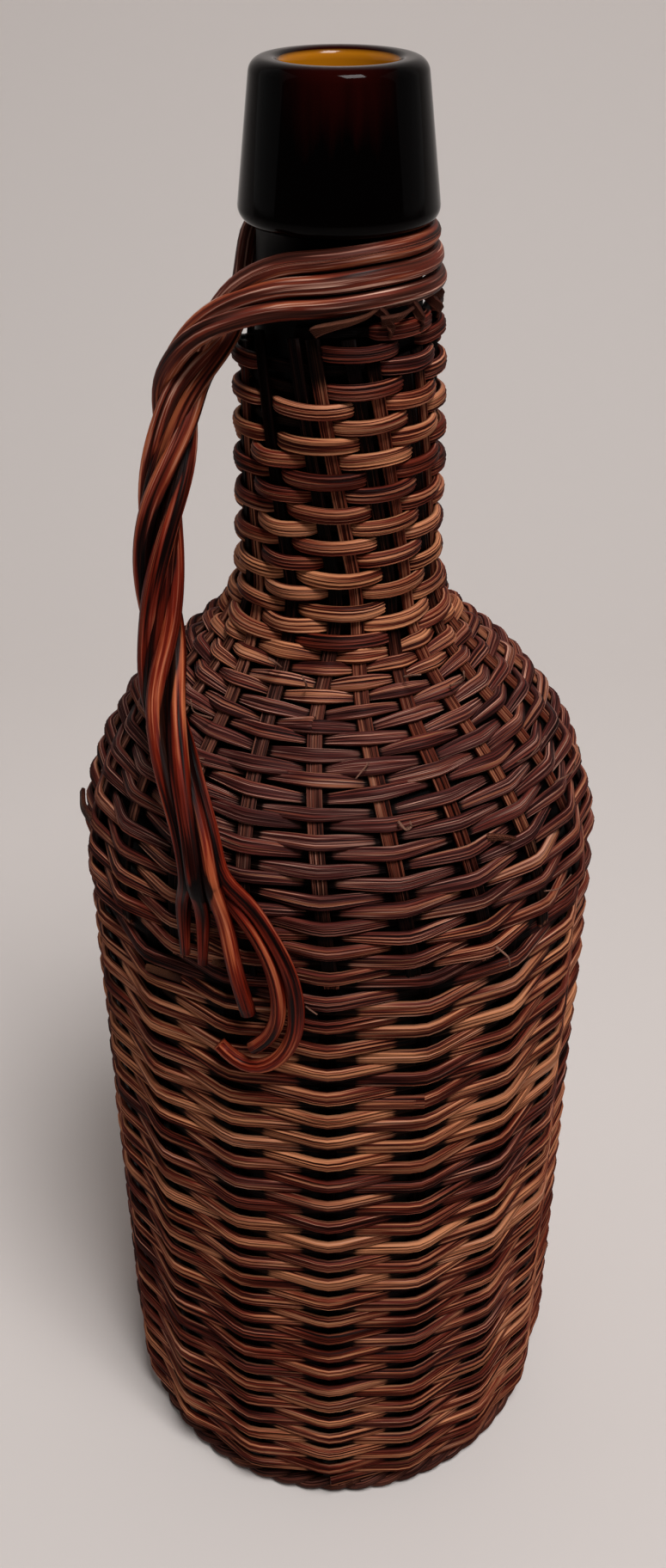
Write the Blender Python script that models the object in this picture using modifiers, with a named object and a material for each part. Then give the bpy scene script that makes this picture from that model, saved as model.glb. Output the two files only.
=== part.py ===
"""A wicker demijohn of about a litre: a dark glass bottle in a woven cane jacket.

The bottle is one turned glass shell with an open mouth. It stands on a woven mat and
a border ring. Upright stakes rise from the ring, flat strips carry on over the
shoulder and up the neck, and long weaver canes wind round them, outside one and
inside the next. Three handle canes loop round the neck under the lip, twist into a
six-strand rope and end on the jacket's shoulder.

Units are metres, +Z is up, and the origin is on the floor under the bottle's axis.
Azimuth 0 faces -Y and grows towards +X.
"""
import math

import bmesh
import bpy
from mathutils import Vector

# Bottle
OVERALL_HEIGHT = 0.3050
BODY_RADIUS = 0.0483
SHOULDER_START = 0.1605
SHOULDER_RADIUS = 0.0480
SHOULDER_SLOPE = math.radians(46.0)
THROAT_RADIUS = 0.0240
THROAT_NECK_RADIUS = 0.0154
NECK_SLOPE = math.radians(1.6)
LIP_HEIGHT = 0.0242
LIP_BASE_RADIUS = 0.0162
LIP_TOP_RADIUS = 0.0140
LIP_EDGE_RADIUS = 0.0024
BORE_RADIUS = 0.0098
GLASS_WALL = 0.0036
GLASS_FLOOR = 0.0050
HEEL_RADIUS = 0.0060
PUNT_RISE = 0.0030
PUNT_RADIUS = 0.0330
GLASS_SIDES = 28
SHOULDER_STEPS = 6
THROAT_STEPS = 5
NECK_STEPS = 2
ROUND_STEPS = 2

# Jacket: gaps and the two kinds of cane
GAP = 0.0003
MERGE_DISTANCE = 0.00001
JACKET_GAP = 0.0004
CROSS_GAP = 0.0005
WEAVER_WIDTH = 0.0024
WEAVER_THICKNESS = 0.0011
STAKE_WIDTH = 0.0026
STRIP_WIDTH = 0.0026
STRIP_NECK_SHARE = 0.75
STAKE_THICKNESS = 0.0008
STAKE_CROWN_SHARE = 0.4

# Jacket: the weave
ROW_PITCH = 0.0030
STAKE_COUNT = 17
STRIP_COUNT = 21
FIRST_STAKE_AZIMUTH = math.radians(-2.5)
FIRST_STRIP_AZIMUTH = math.radians(-6.5)
SHOULDER_LEAN = math.radians(10.0)
NECK_LEAN = math.radians(22.0)
PAIR_SPREAD = math.radians(5.9)
PAIR_SHIFT = math.radians(7.0)
OVER_WRAP = math.radians(2.3)
UNDER_WRAP = math.radians(1.2)
WEAVE_TOP = 0.2602
STRIP_TUCK = 0.0022
BODY_WEAVER_COUNT = 5
SHOULDER_WEAVER_COUNT = 2
NECK_WEAVER_COUNT = 1
CANE_END_SHARE = 0.42

# Foot
RING_HEIGHT = 0.0052
RING_PROUD = 0.0029
RING_EDGE_RADIUS = 0.0022
MAT_THICKNESS = 0.0032
MAT_CLEARANCE = 0.0008
FOOT_SIDES = 28

# Handle
CANE_RADIUS = 0.00135
ROPE_GAP = 0.00075
ROPE_FLARE_SHARE = 0.18
CANE_STEP = 0.0062
ROPE_TWIST = math.radians(-420.0)
ROPE_DROP = 0.0188
ROPE_FOOT_RISE = 0.0210
HANDLE_BOW = 0.0122
LIP_GAP = 0.00035
LOOP_PITCH = 0.00350
LOOP_DIP = 0.0040
LOOP_STEPS = 17
BEND_RISE = 0.0032
BEND_PART = 0.0008
TAPER_SHARE = 0.6

# The rope's centre line: azimuth in degrees, share of its height, share of its bow
ROPE_ROUTE_SHARES = (
    (-74.0, 1.00, 0.34), (-69.0, 0.86, 0.55), (-63.0, 0.72, 0.82), (-57.0, 0.58, 0.94),
    (-53.0, 0.45, 0.86), (-46.0, 0.33, 0.45), (-36.0, 0.21, 0.13), (-28.5, 0.08, 0.01),
    (-26.0, 0.00, 0.00),
)

# Where each leg of the handle runs below the rope: azimuth in degrees and height as a
# share of the shoulder's start. The last value is its end's radius share.
TAIL_SHARES = {
    "short_left": (((-32.2, 1.098), (-31.4, 1.062), (-30.8, 1.025)), TAPER_SHARE),
    "short_right": (((-27.3, 1.088), (-26.9, 1.055), (-26.9, 1.020)), TAPER_SHARE),
    "cut_end": (((-22.6, 1.085), (-20.3, 1.030), (-17.6, 0.965)), 1.0),
    "outer_turn": (((-16.5, 1.125), (-11.0, 1.080), (-7.4, 1.020), (-6.6, 0.960),
                    (-9.0, 0.905), (-14.5, 0.873), (-20.6, 0.878), (-24.6, 0.900)), 1.0),
    "inner_turn": (((-19.0, 1.100), (-14.2, 1.060), (-11.0, 1.005), (-10.4, 0.955),
                    (-13.0, 0.917), (-16.6, 0.905)), 1.0),
    "hidden_end": ((), TAPER_SHARE),
}

# The three handle canes, from the lowest loop to the highest: for the front leg and
# the back leg, the place in the rope's ring of six and the tail
HANDLE_CANES = (
    ("handle_cane_low", (2, "outer_turn"), (3, "inner_turn")),
    ("handle_cane_mid", (1, "cut_end"), (4, "hidden_end")),
    ("handle_cane_top", (0, "short_right"), (5, "short_left")),
)
RING_PLACES = 6

# Colour, roughness and metallic value of each kind of piece
GLASS_LOOK = ((0.030, 0.008, 0.005), 0.08, 0.0)
STAKE_LOOK = ((0.120, 0.050, 0.028), 0.55, 0.0)
STRIP_LOOK = ((0.190, 0.085, 0.045), 0.55, 0.0)
WEAVER_LOOKS = (
    ((0.205, 0.085, 0.045), 0.50, 0.0),
    ((0.300, 0.125, 0.058), 0.50, 0.0),
    ((0.120, 0.048, 0.034), 0.50, 0.0),
)
FOOT_LOOK = ((0.085, 0.036, 0.022), 0.65, 0.0)
HANDLE_LOOK = ((0.260, 0.080, 0.034), 0.35, 0.0)

# Sizes worked out from the ones above
UNDER_LIFT = JACKET_GAP
STAKE_LIFT = UNDER_LIFT + WEAVER_THICKNESS + CROSS_GAP
OVER_LIFT = STAKE_LIFT + STAKE_THICKNESS + CROSS_GAP
JACKET_DEPTH = OVER_LIFT + WEAVER_THICKNESS
MID_LIFT = JACKET_DEPTH / 2
ROPE_RING_RADIUS = (2 * CANE_RADIUS + ROPE_GAP) / (2 * math.sin(math.pi / RING_PLACES))
ROPE_RADIUS = ROPE_RING_RADIUS + CANE_RADIUS
LIP_FOOT = OVERALL_HEIGHT - LIP_HEIGHT
RING_RADIUS = BODY_RADIUS + RING_PROUD
LOOP_HEIGHT = LIP_FOOT - LIP_GAP - CANE_RADIUS - LOOP_PITCH
ROPE_TOP = LOOP_HEIGHT - ROPE_DROP
ROPE_FOOT = SHOULDER_START + ROPE_FOOT_RISE
MAT_TOP = MAT_CLEARANCE + MAT_THICKNESS
BOTTLE_FOOT = MAT_TOP + GAP
WEAVE_FOOT = RING_HEIGHT + GAP + WEAVER_WIDTH / 2


class Jacket:
    """The bottle's outside as a path: straight side, shoulder, cone, throat, neck."""

    def __init__(self):
        cos_a, sin_a = math.cos(SHOULDER_SLOPE), math.sin(SHOULDER_SLOPE)
        cos_n, sin_n = math.cos(NECK_SLOPE), math.sin(NECK_SLOPE)
        self.shoulder_centre = (BODY_RADIUS - SHOULDER_RADIUS, SHOULDER_START)
        self.cone_start = (self.shoulder_centre[0] + SHOULDER_RADIUS * cos_a,
                           self.shoulder_centre[1] + SHOULDER_RADIUS * sin_a)
        throat_centre_radius = THROAT_NECK_RADIUS + THROAT_RADIUS * cos_n
        cone_end_radius = throat_centre_radius - THROAT_RADIUS * cos_a
        cone_length = (self.cone_start[0] - cone_end_radius) / sin_a
        cone_end_height = self.cone_start[1] + cone_length * cos_a
        self.cone_end = (cone_end_radius, cone_end_height)
        throat_height = cone_end_height + THROAT_RADIUS * sin_a
        self.throat_centre = (throat_centre_radius, throat_height)
        self.neck_start = (throat_centre_radius - THROAT_RADIUS * cos_n,
                           throat_height - THROAT_RADIUS * sin_n)
        # Lengths of the five stretches along the middle of the jacket
        self.side_end = SHOULDER_START - WEAVE_FOOT
        self.shoulder_end = self.side_end + (SHOULDER_RADIUS + MID_LIFT) * SHOULDER_SLOPE
        self.cone_finish = self.shoulder_end + cone_length
        throat_turn = SHOULDER_SLOPE - NECK_SLOPE
        self.throat_end = self.cone_finish + (THROAT_RADIUS - MID_LIFT) * throat_turn
        self.weave_end = self.throat_end + (WEAVE_TOP - self.neck_start[1]) / cos_n

    def point(self, along, lift):
        """Radius, height and slope at a distance along the jacket, lifted off the glass."""
        if along <= self.side_end:
            return BODY_RADIUS + lift, WEAVE_FOOT + along, 0.0
        if along <= self.shoulder_end:
            slope = (along - self.side_end) / (SHOULDER_RADIUS + MID_LIFT)
            base, reach = self.shoulder_centre, SHOULDER_RADIUS + lift
            return base[0] + reach * math.cos(slope), base[1] + reach * math.sin(slope), slope
        if along <= self.cone_finish:
            slope, base, rest = SHOULDER_SLOPE, self.cone_start, along - self.shoulder_end
        elif along <= self.throat_end:
            slope = SHOULDER_SLOPE - (along - self.cone_finish) / (THROAT_RADIUS - MID_LIFT)
            base, reach = self.throat_centre, THROAT_RADIUS - lift
            return base[0] - reach * math.cos(slope), base[1] - reach * math.sin(slope), slope
        else:
            slope, base, rest = NECK_SLOPE, self.neck_start, along - self.throat_end
        radius = base[0] - rest * math.sin(slope) + lift * math.cos(slope)
        height = base[1] + rest * math.cos(slope) + lift * math.sin(slope)
        return radius, height, slope

    def at_height(self, height, lift):
        """Radius and slope of the lifted outside at a height."""
        low, high = 0.0, self.weave_end + OVERALL_HEIGHT
        for _ in range(50):
            middle = (low + high) / 2
            if self.point(middle, lift)[1] < height:
                low = middle
            else:
                high = middle
        radius, _, slope = self.point(low, lift)
        return radius, slope


JACKET = Jacket()


def polar(azimuth, radius, height):
    """Point at an azimuth, a distance from the axis and a height."""
    return Vector((radius * math.sin(azimuth), -radius * math.cos(azimuth), height))


def smooth_step(value):
    """0 below 0, 1 above 1 and an S curve between."""
    value = min(1.0, max(0.0, value))
    return value * value * (3 - 2 * value)


def arc(centre, radius, start, end, steps):
    """Points of an arc in the turning plane, angles measured from the outward axis."""
    turns = [start + (end - start) * step / steps for step in range(steps + 1)]
    return [(centre[0] + radius * math.cos(turn), centre[1] + radius * math.sin(turn))
            for turn in turns]


def make_material(name, look):
    """A plain principled material."""
    colour, roughness, metallic = look
    material = bpy.data.materials.new(name)
    material.use_nodes = True
    shader = material.node_tree.nodes["Principled BSDF"]
    shader.inputs["Base Color"].default_value = (*colour, 1.0)
    shader.inputs["Roughness"].default_value = roughness
    shader.inputs["Metallic"].default_value = metallic
    return material


def link(name, data, collection, look):
    """Put new mesh or curve data in the collection under its own material."""
    body = bpy.data.objects.new(name, data)
    collection.objects.link(body)
    data.materials.append(make_material(name, look))
    return body


def turned(name, outline, sides, collection, look):
    """A closed outline turned once about the axis."""
    mesh = bpy.data.meshes.new(name)
    shape = bmesh.new()
    corners = [shape.verts.new((radius, 0.0, height)) for radius, height in outline]
    for first, second in zip(corners, corners[1:]):
        shape.edges.new((first, second))
    if outline[0][0] > 0.0:
        shape.edges.new((corners[-1], corners[0]))
    shape.to_mesh(mesh)
    shape.free()
    body = link(name, mesh, collection, look)
    screw = body.modifiers.new("turn", "SCREW")
    screw.steps = screw.render_steps = sides
    screw.use_merge_vertices = True
    screw.merge_threshold = MERGE_DISTANCE
    screw.use_smooth_shade = False
    return body


def cane_section(name, width, thickness, crown_share, collection):
    """A split cane's section as a guide curve: flat back on x = 0, crown towards +x."""
    half, crown = width / 2, width * crown_share / 2
    corners = [(0.0, half), (thickness, crown), (thickness, -crown), (0.0, -half)]
    if crown_share == 0.0:
        del corners[2]
    outline = bpy.data.curves.new(name, "CURVE")
    outline.dimensions = "2D"
    spline = outline.splines.new("POLY")
    spline.points.add(len(corners) - 1)
    for point, corner in zip(spline.points, corners):
        point.co = (*corner, 0.0, 1.0)
    spline.use_cyclic_u = True
    guide = bpy.data.objects.new(name, outline)
    collection.objects.link(guide)
    guide.hide_render = True
    guide.display_type = "WIRE"
    return guide


def curve_data(name, points, tilts=None, radii=None):
    """A poly spline through points, with the caps closed."""
    path = bpy.data.curves.new(name, "CURVE")
    path.dimensions = "3D"
    path.use_fill_caps = True
    spline = path.splines.new("POLY")
    spline.points.add(len(points) - 1)
    for index, (point, place) in enumerate(zip(spline.points, points)):
        point.co = (*place, 1.0)
        point.tilt = tilts[index] if tilts else 0.0
        point.radius = radii[index] if radii else 1.0
    return path


def flat_cane(name, points, tilts, section, twist, collection, look, radii=None):
    """A split cane along points, its flat back towards the bottle."""
    path = curve_data(name, points, tilts, radii)
    path.twist_mode = twist
    path.bevel_mode = "OBJECT"
    path.bevel_object = section
    return link(name, path, collection, look)


def round_cane(name, points, radii, collection, look):
    """A whole cane along points."""
    path = curve_data(name, points, radii=radii)
    path.bevel_depth = CANE_RADIUS
    path.bevel_resolution = 2
    return link(name, path, collection, look)


def bottle_outline():
    """The glass shell's closed outline, from the crest down outside and up inside."""
    neck_top = JACKET.at_height(LIP_FOOT, 0.0)[0]
    lip_turn = math.atan2(LIP_BASE_RADIUS - LIP_TOP_RADIUS, LIP_HEIGHT)
    edge = LIP_EDGE_RADIUS
    crest = (LIP_TOP_RADIUS - edge, OVERALL_HEIGHT - edge)
    foot = (LIP_BASE_RADIUS - edge, LIP_FOOT + edge)
    shoulder_in = SHOULDER_RADIUS - GLASS_WALL
    throat_in = THROAT_RADIUS + GLASS_WALL
    heel = (BODY_RADIUS - HEEL_RADIUS, BOTTLE_FOOT + HEEL_RADIUS)
    heel_in = HEEL_RADIUS - GLASS_WALL
    inner_heel = (heel[0], BOTTLE_FOOT + GLASS_FLOOR + heel_in)
    outline = arc(crest, edge, math.pi / 2, lip_turn, ROUND_STEPS)
    outline += arc(foot, edge, lip_turn, -math.pi / 2, ROUND_STEPS)
    outline += [(neck_top, LIP_FOOT)]
    outline += arc(JACKET.throat_centre, THROAT_RADIUS, math.pi + NECK_SLOPE,
                   math.pi + SHOULDER_SLOPE, THROAT_STEPS)
    outline += arc(JACKET.shoulder_centre, SHOULDER_RADIUS, SHOULDER_SLOPE, 0.0,
                   SHOULDER_STEPS)
    outline += arc(heel, HEEL_RADIUS, 0.0, -math.pi / 2, ROUND_STEPS)
    outline += [(PUNT_RADIUS, BOTTLE_FOOT), (0.0, BOTTLE_FOOT + PUNT_RISE),
                (0.0, BOTTLE_FOOT + PUNT_RISE + GLASS_FLOOR),
                (PUNT_RADIUS, BOTTLE_FOOT + GLASS_FLOOR)]
    outline += arc(inner_heel, heel_in, -math.pi / 2, 0.0, ROUND_STEPS)
    outline += arc(JACKET.shoulder_centre, shoulder_in, 0.0, SHOULDER_SLOPE,
                   SHOULDER_STEPS - 1)
    outline += arc(JACKET.throat_centre, throat_in, math.pi + SHOULDER_SLOPE,
                   math.pi + NECK_SLOPE, THROAT_STEPS - 1)
    outline += [(BORE_RADIUS, LIP_FOOT), (BORE_RADIUS, OVERALL_HEIGHT - edge / 2),
                (BORE_RADIUS + edge / 2, OVERALL_HEIGHT)]
    return outline


def make_bottle(collection):
    """The glass bottle, open at the mouth."""
    outline = bottle_outline()
    split = outline.index((0.0, BOTTLE_FOOT + PUNT_RISE + GLASS_FLOOR))
    around = outline[split:] + outline[:split]
    return turned("glass_bottle", around, GLASS_SIDES, collection, GLASS_LOOK)


def make_foot(collection):
    """The border ring that the jacket stands on and the woven mat inside it."""
    rise = min(RING_HEIGHT - BOTTLE_FOOT, HEEL_RADIUS)
    heel_reach = math.sqrt(HEEL_RADIUS ** 2 - (HEEL_RADIUS - rise) ** 2)
    inner = BODY_RADIUS - HEEL_RADIUS + heel_reach + GAP
    edge = RING_EDGE_RADIUS
    top, bottom = (RING_RADIUS - edge, RING_HEIGHT - edge), (RING_RADIUS - edge, edge)
    outline = arc(top, edge, math.pi / 2, 0.0, ROUND_STEPS)
    outline += arc(bottom, edge, 0.0, -math.pi / 2, ROUND_STEPS)
    outline += [(inner, 0.0), (inner, RING_HEIGHT)]
    turned("foot_ring", outline, FOOT_SIDES, collection, FOOT_LOOK)
    rim = inner - GAP
    outline = [(0.0, MAT_TOP), (rim, MAT_TOP), (rim, MAT_CLEARANCE), (0.0, MAT_CLEARANCE)]
    turned("base_mat", outline, FOOT_SIDES, collection, FOOT_LOOK)


def strip_azimuth(index, along):
    """Azimuth of a shoulder strip at a distance along the jacket."""
    spacing = 2 * math.pi / STRIP_COUNT
    own = index * spacing
    group, groups = index // 2, (STRIP_COUNT + 1) // 2
    place = group * 2 * math.pi / groups + spacing / 2 + PAIR_SHIFT
    if 2 * group + 1 < STRIP_COUNT:
        place += PAIR_SPREAD * (1 if index % 2 else -1)
    gather = JACKET.throat_end - JACKET.cone_finish
    blend = smooth_step((along - JACKET.cone_finish + gather / 2) / (gather + gather / 2))
    middle = (JACKET.side_end + JACKET.throat_end) / 2
    down = (middle - along) / (JACKET.throat_end - JACKET.side_end)
    lean = SHOULDER_LEAN * max(down, -0.5)
    up_neck = (along - JACKET.throat_end) / (JACKET.weave_end - JACKET.throat_end)
    lean -= NECK_LEAN * max(up_neck, 0.0)
    return FIRST_STRIP_AZIMUTH + own + (place - own) * blend + lean


def spiral(azimuth):
    """Distance along the jacket at which the weave's one spiral passes an azimuth."""
    return ROW_PITCH * (azimuth - FIRST_STAKE_AZIMUTH) / (2 * math.pi)


def strip_crossing(strip, turn, past=0.0):
    """Where the spiral meets a strip on its given turn."""
    azimuth = turn * 2 * math.pi
    for _ in range(8):
        along = spiral(azimuth)
        azimuth = strip_azimuth(strip, along) + turn * 2 * math.pi + past
    return along, azimuth


def weave_crossings():
    """Every place where the weave passes outside or inside a stake, strip or pair.

    Each crossing is a distance along the jacket, an azimuth counted on round the
    jacket, whether the weaver is outside, and the number of the upright. The three
    lists are the body's, the shoulder's and the neck's.
    """
    body, shoulder, neck = [], [], []
    while not body or body[-1][0] < JACKET.side_end - ROW_PITCH / STAKE_COUNT:
        index = len(body)
        azimuth = FIRST_STAKE_AZIMUTH + index * 2 * math.pi / STAKE_COUNT
        body.append((spiral(azimuth), azimuth, index % 2 == 0, index % STAKE_COUNT))
    gather = (JACKET.shoulder_end + JACKET.cone_finish) / 2
    groups = (STRIP_COUNT + 1) // 2
    first_turn = int(JACKET.side_end / ROW_PITCH) - 1
    last_turn = int(JACKET.weave_end / ROW_PITCH) + 2
    apart = math.pi / STRIP_COUNT
    for turn in range(first_turn, last_turn):
        for strip in range(STRIP_COUNT):
            along, azimuth = strip_crossing(strip, turn)
            if azimuth > body[-1][1] + apart and along < gather:
                over = (turn * STRIP_COUNT + strip) % 2 == 0
                shoulder.append((along, azimuth, over, strip))
    for turn in range(first_turn, last_turn):
        for group in range(groups):
            over = (turn * groups + group) % 2 == 0
            past = OVER_WRAP if over else UNDER_WRAP
            left, right = 2 * group, min(2 * group + 1, STRIP_COUNT - 1)
            first, second = strip_crossing(left, turn, -past), strip_crossing(right, turn, past)
            if first[1] > shoulder[-1][1] + apart and second[0] < JACKET.weave_end:
                neck += [(*first, over, left), (*second, over, right)]
    return body, shoulder, neck


def make_stakes(body, collection, guides):
    """The upright stakes of the body, from the border ring to the shoulder."""
    section = cane_section("stake_section", STAKE_WIDTH, STAKE_THICKNESS,
                           STAKE_CROWN_SHARE, guides)
    radius = BODY_RADIUS + STAKE_LIFT
    tops = {upright: along for along, _, _, upright in body}
    for index in range(STAKE_COUNT):
        top = WEAVE_FOOT + tops[index] + ROW_PITCH / 2 - GAP
        points = [polar(0.0, radius, RING_HEIGHT + GAP), polar(0.0, radius, top)]
        quarter = [-math.pi / 2, -math.pi / 2]
        stake = flat_cane(f"stake_{index + 1:02d}", points, quarter, section, "MINIMUM",
                          collection, STAKE_LOOK)
        azimuth = FIRST_STAKE_AZIMUTH + index * 2 * math.pi / STAKE_COUNT
        stake.rotation_euler = (0.0, 0.0, azimuth)


def strip_stations():
    """Distances along the jacket at which a strip has a point, above its straight start."""
    stations = []
    spans = ((JACKET.side_end, JACKET.shoulder_end, SHOULDER_STEPS),
             (JACKET.shoulder_end, JACKET.cone_finish, 1),
             (JACKET.cone_finish, JACKET.throat_end, THROAT_STEPS),
             (JACKET.throat_end, JACKET.weave_end + STRIP_TUCK, NECK_STEPS))
    for start, end, steps in spans:
        stations += [start + (end - start) * step / steps for step in range(1, steps + 1)]
    return stations


def make_strips(shoulder, collection, guides):
    """The flat strips that fan over the shoulder and pair up on the neck."""
    section = cane_section("strip_section", STRIP_WIDTH, STAKE_THICKNESS,
                           STAKE_CROWN_SHARE, guides)
    feet = {upright: along for along, _, _, upright in reversed(shoulder)}
    for index in range(STRIP_COUNT):
        foot = feet[index] - ROW_PITCH / 2 + GAP
        start = strip_azimuth(index, foot)
        points, tilts, radii = [], [-math.pi / 2] * 2, [1.0] * 2
        for along in (foot - GAP, foot):
            radius, height, _ = JACKET.point(JACKET.side_end, STAKE_LIFT)
            points.append(polar(0.0, radius, height - JACKET.side_end + along))
        last = start
        for along in strip_stations():
            azimuth = strip_azimuth(index, along)
            radius, height, slope = JACKET.point(along, STAKE_LIFT)
            points.append(polar(azimuth - start, radius, height))
            tilts.append(tilts[-1] + (azimuth - last) * math.cos(slope))
            narrowed = (along - JACKET.shoulder_end) / (JACKET.throat_end - JACKET.shoulder_end)
            radii.append(1.0 - (1.0 - STRIP_NECK_SHARE) * smooth_step(narrowed))
            last = azimuth
        strip = flat_cane(f"shoulder_strip_{index + 1:02d}", points, tilts, section,
                          "MINIMUM", collection, STRIP_LOOK, radii)
        strip.rotation_euler = (0.0, 0.0, start)


def wind(name, crossings, look, section, collection):
    """One weaver cane through its crossings, cut off within the first and last step."""
    places = [(along, azimuth, OVER_LIFT if over else UNDER_LIFT)
              for along, azimuth, over in crossings]

    def between(first, second, share):
        return tuple(a + (b - a) * share for a, b in zip(first, second))

    places[0] = between(places[1], places[0], CANE_END_SHARE)
    places[-1] = between(places[-2], places[-1], CANE_END_SHARE)
    points, tilts = [], []
    for along, azimuth, lift in places:
        radius, height, slope = JACKET.point(along, lift)
        points.append(polar(azimuth, radius, height))
        tilts.append(-slope)
    flat_cane(name, points, tilts, section, "Z_UP", collection, look)
    return least_gap(points, WEAVER_WIDTH, math.pi * THROAT_NECK_RADIUS)


def least_gap(points, thickness, apart):
    """Least gap of a cane to itself, between points and middles far apart on it."""
    middles = [(first + second) / 2 for first, second in zip(points, points[1:])]
    points = [place for pair in zip(points, middles) for place in pair]
    walked = [0.0]
    for first, second in zip(points, points[1:]):
        walked.append(walked[-1] + (second - first).length)
    gaps = [(points[a] - points[b]).length
            for a in range(len(points)) for b in range(a + 1, len(points))
            if walked[b] - walked[a] > apart]
    return min(gaps) - thickness


def make_weavers(crossings, collection, guides):
    """The long canes that wind round the stakes from the foot to the neck."""
    section = cane_section("weaver_section", WEAVER_WIDTH, WEAVER_THICKNESS, 0.0, guides)
    weave = [crossing[:3] for run in crossings for crossing in run]
    joins, begun = [0], 0
    counts = (BODY_WEAVER_COUNT, SHOULDER_WEAVER_COUNT, NECK_WEAVER_COUNT)
    for run, canes in zip(crossings, counts):
        joins += [begun + round(len(run) * cane / canes) for cane in range(1, canes + 1)]
        begun += len(run)
    for number, (start, end) in enumerate(zip(joins, joins[1:]), start=1):
        name = f"weaver_{number:02d}"
        look = WEAVER_LOOKS[number % len(WEAVER_LOOKS)]
        gap = wind(name, weave[max(start - 1, 0):end + 1], look, section, collection)
        print(f"{name}: least gap to itself {gap * 1000:.2f} mm")


def rope_centre_line():
    """Points down the middle of the handle's rope."""
    line = []
    for degrees, height_share, bow_share in ROPE_ROUTE_SHARES:
        height = ROPE_FOOT + (ROPE_TOP - ROPE_FOOT) * height_share
        radius, slope = JACKET.at_height(height, JACKET_DEPTH)
        clear = (ROPE_RADIUS + GAP) / math.cos(slope)
        reach = radius + clear + HANDLE_BOW * bow_share
        line.append(polar(math.radians(degrees), reach, height))
    return smooth_path(line, CANE_STEP)


def smooth_path(route, step):
    """Points a step apart on a smooth curve through the route."""
    padded = [2 * route[0] - route[1], *route, 2 * route[-1] - route[-2]]
    dense = []
    for a, b, c, d in zip(padded, padded[1:], padded[2:], padded[3:]):
        for part in range(20):
            t = part / 20
            dense.append(0.5 * (2 * b + (c - a) * t + (2 * a - 5 * b + 4 * c - d) * t ** 2
                                + (3 * b - a - 3 * c + d) * t ** 3))
    dense.append(route[-1])
    walked = [0.0]
    for first, second in zip(dense, dense[1:]):
        walked.append(walked[-1] + (second - first).length)
    count = max(2, round(walked[-1] / step))
    path, place = [], 0
    for index in range(count + 1):
        target = walked[-1] * index / count
        while place < len(walked) - 2 and walked[place + 1] < target:
            place += 1
        span = walked[place + 1] - walked[place]
        path.append(dense[place].lerp(dense[place + 1], (target - walked[place]) / span))
    return path


def rope_leg(centre_line, ring_place):
    """One strand of the rope, from the top down."""
    leg = []
    last = len(centre_line) - 1
    for index, middle in enumerate(centre_line):
        before, after = centre_line[max(index - 1, 0)], centre_line[min(index + 1, last)]
        along = (after - before).normalized()
        outward = Vector((middle.x, middle.y, 0.0)).normalized()
        outward = (outward - along * outward.dot(along)).normalized()
        sideways = outward.cross(along)
        turn = math.pi * (2 * ring_place + 1) / RING_PLACES + ROPE_TWIST * index / last
        near_end = 1.0 - smooth_step(min(index, last - index) / 2)
        reach = ROPE_RING_RADIUS * (1.0 + ROPE_FLARE_SHARE * near_end)
        leg.append(middle + reach * (math.cos(turn) * outward + math.sin(turn) * sideways))
    return leg


def tail_route(name):
    """The points of a leg below the rope, lying on the jacket."""
    shares, _ = TAIL_SHARES[name]
    route = []
    for degrees, height_share in shares:
        height = SHOULDER_START * height_share
        radius, slope = JACKET.at_height(height, JACKET_DEPTH)
        clear = (CANE_RADIUS + GAP) / math.cos(slope)
        route.append(polar(math.radians(degrees), radius + clear, height))
    return route


def neck_loop(level):
    """A loop round the neck, from its front end to its back end."""
    step = 2 * math.pi / LOOP_STEPS
    low = LOOP_HEIGHT - LOOP_DIP - LOOP_PITCH
    neck = JACKET.at_height(low, 0.0)[0]
    radius = (neck + GAP + CANE_RADIUS) / math.cos(step / 2)
    start, end = math.radians(-46.0), math.radians(246.0)
    count = round((end - start) / step)
    loop = []
    for index in range(count + 1):
        azimuth = start + (end - start) * index / count
        dip = LOOP_DIP * (1 - smooth_step((azimuth - start) / math.radians(75.0)))
        loop.append(polar(azimuth, radius, LOOP_HEIGHT + level * LOOP_PITCH - dip))
    return loop


def handle_path(level, front, back, centre_line):
    """A handle cane's whole run: tail, leg, loop round the neck, leg, tail."""
    loop, middle_loop = neck_loop(level), neck_loop(0)
    radial = Vector((centre_line[0].x, centre_line[0].y, 0.0)).normalized()
    stack = (radial + Vector((0.0, 0.0, 1.0))).normalized()
    legs = []
    for (ring_place, tail), middle_place, end in ((front, 1, middle_loop[0]),
                                                  (back, 4, middle_loop[-1])):
        leg = rope_leg(centre_line, ring_place)
        middle_leg = rope_leg(centre_line, middle_place)
        part = (middle_leg[0] - centre_line[0]).normalized() * BEND_PART
        bend = (end + middle_leg[0]) / 2 + stack * (BEND_RISE + level * LOOP_PITCH) + part
        legs.append(list(reversed(tail_route(tail))) + list(reversed(leg)) + [bend])
    return legs[0] + loop + list(reversed(legs[1]))


def make_handle(collection):
    """The three canes of the handle."""
    centre_line = rope_centre_line()
    for level, (name, front, back) in enumerate(HANDLE_CANES, start=-1):
        route = handle_path(level, front, back, centre_line)
        points = smooth_path(route, CANE_STEP)
        radii = [1.0] * len(points)
        radii[0], radii[-1] = TAIL_SHARES[front[1]][1], TAIL_SHARES[back[1]][1]
        round_cane(name, points, radii, collection, HANDLE_LOOK)
        gap = least_gap(points, 2 * CANE_RADIUS, 4 * CANE_STEP)
        print(f"{name}: least gap to itself {gap * 1000:.2f} mm")


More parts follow.
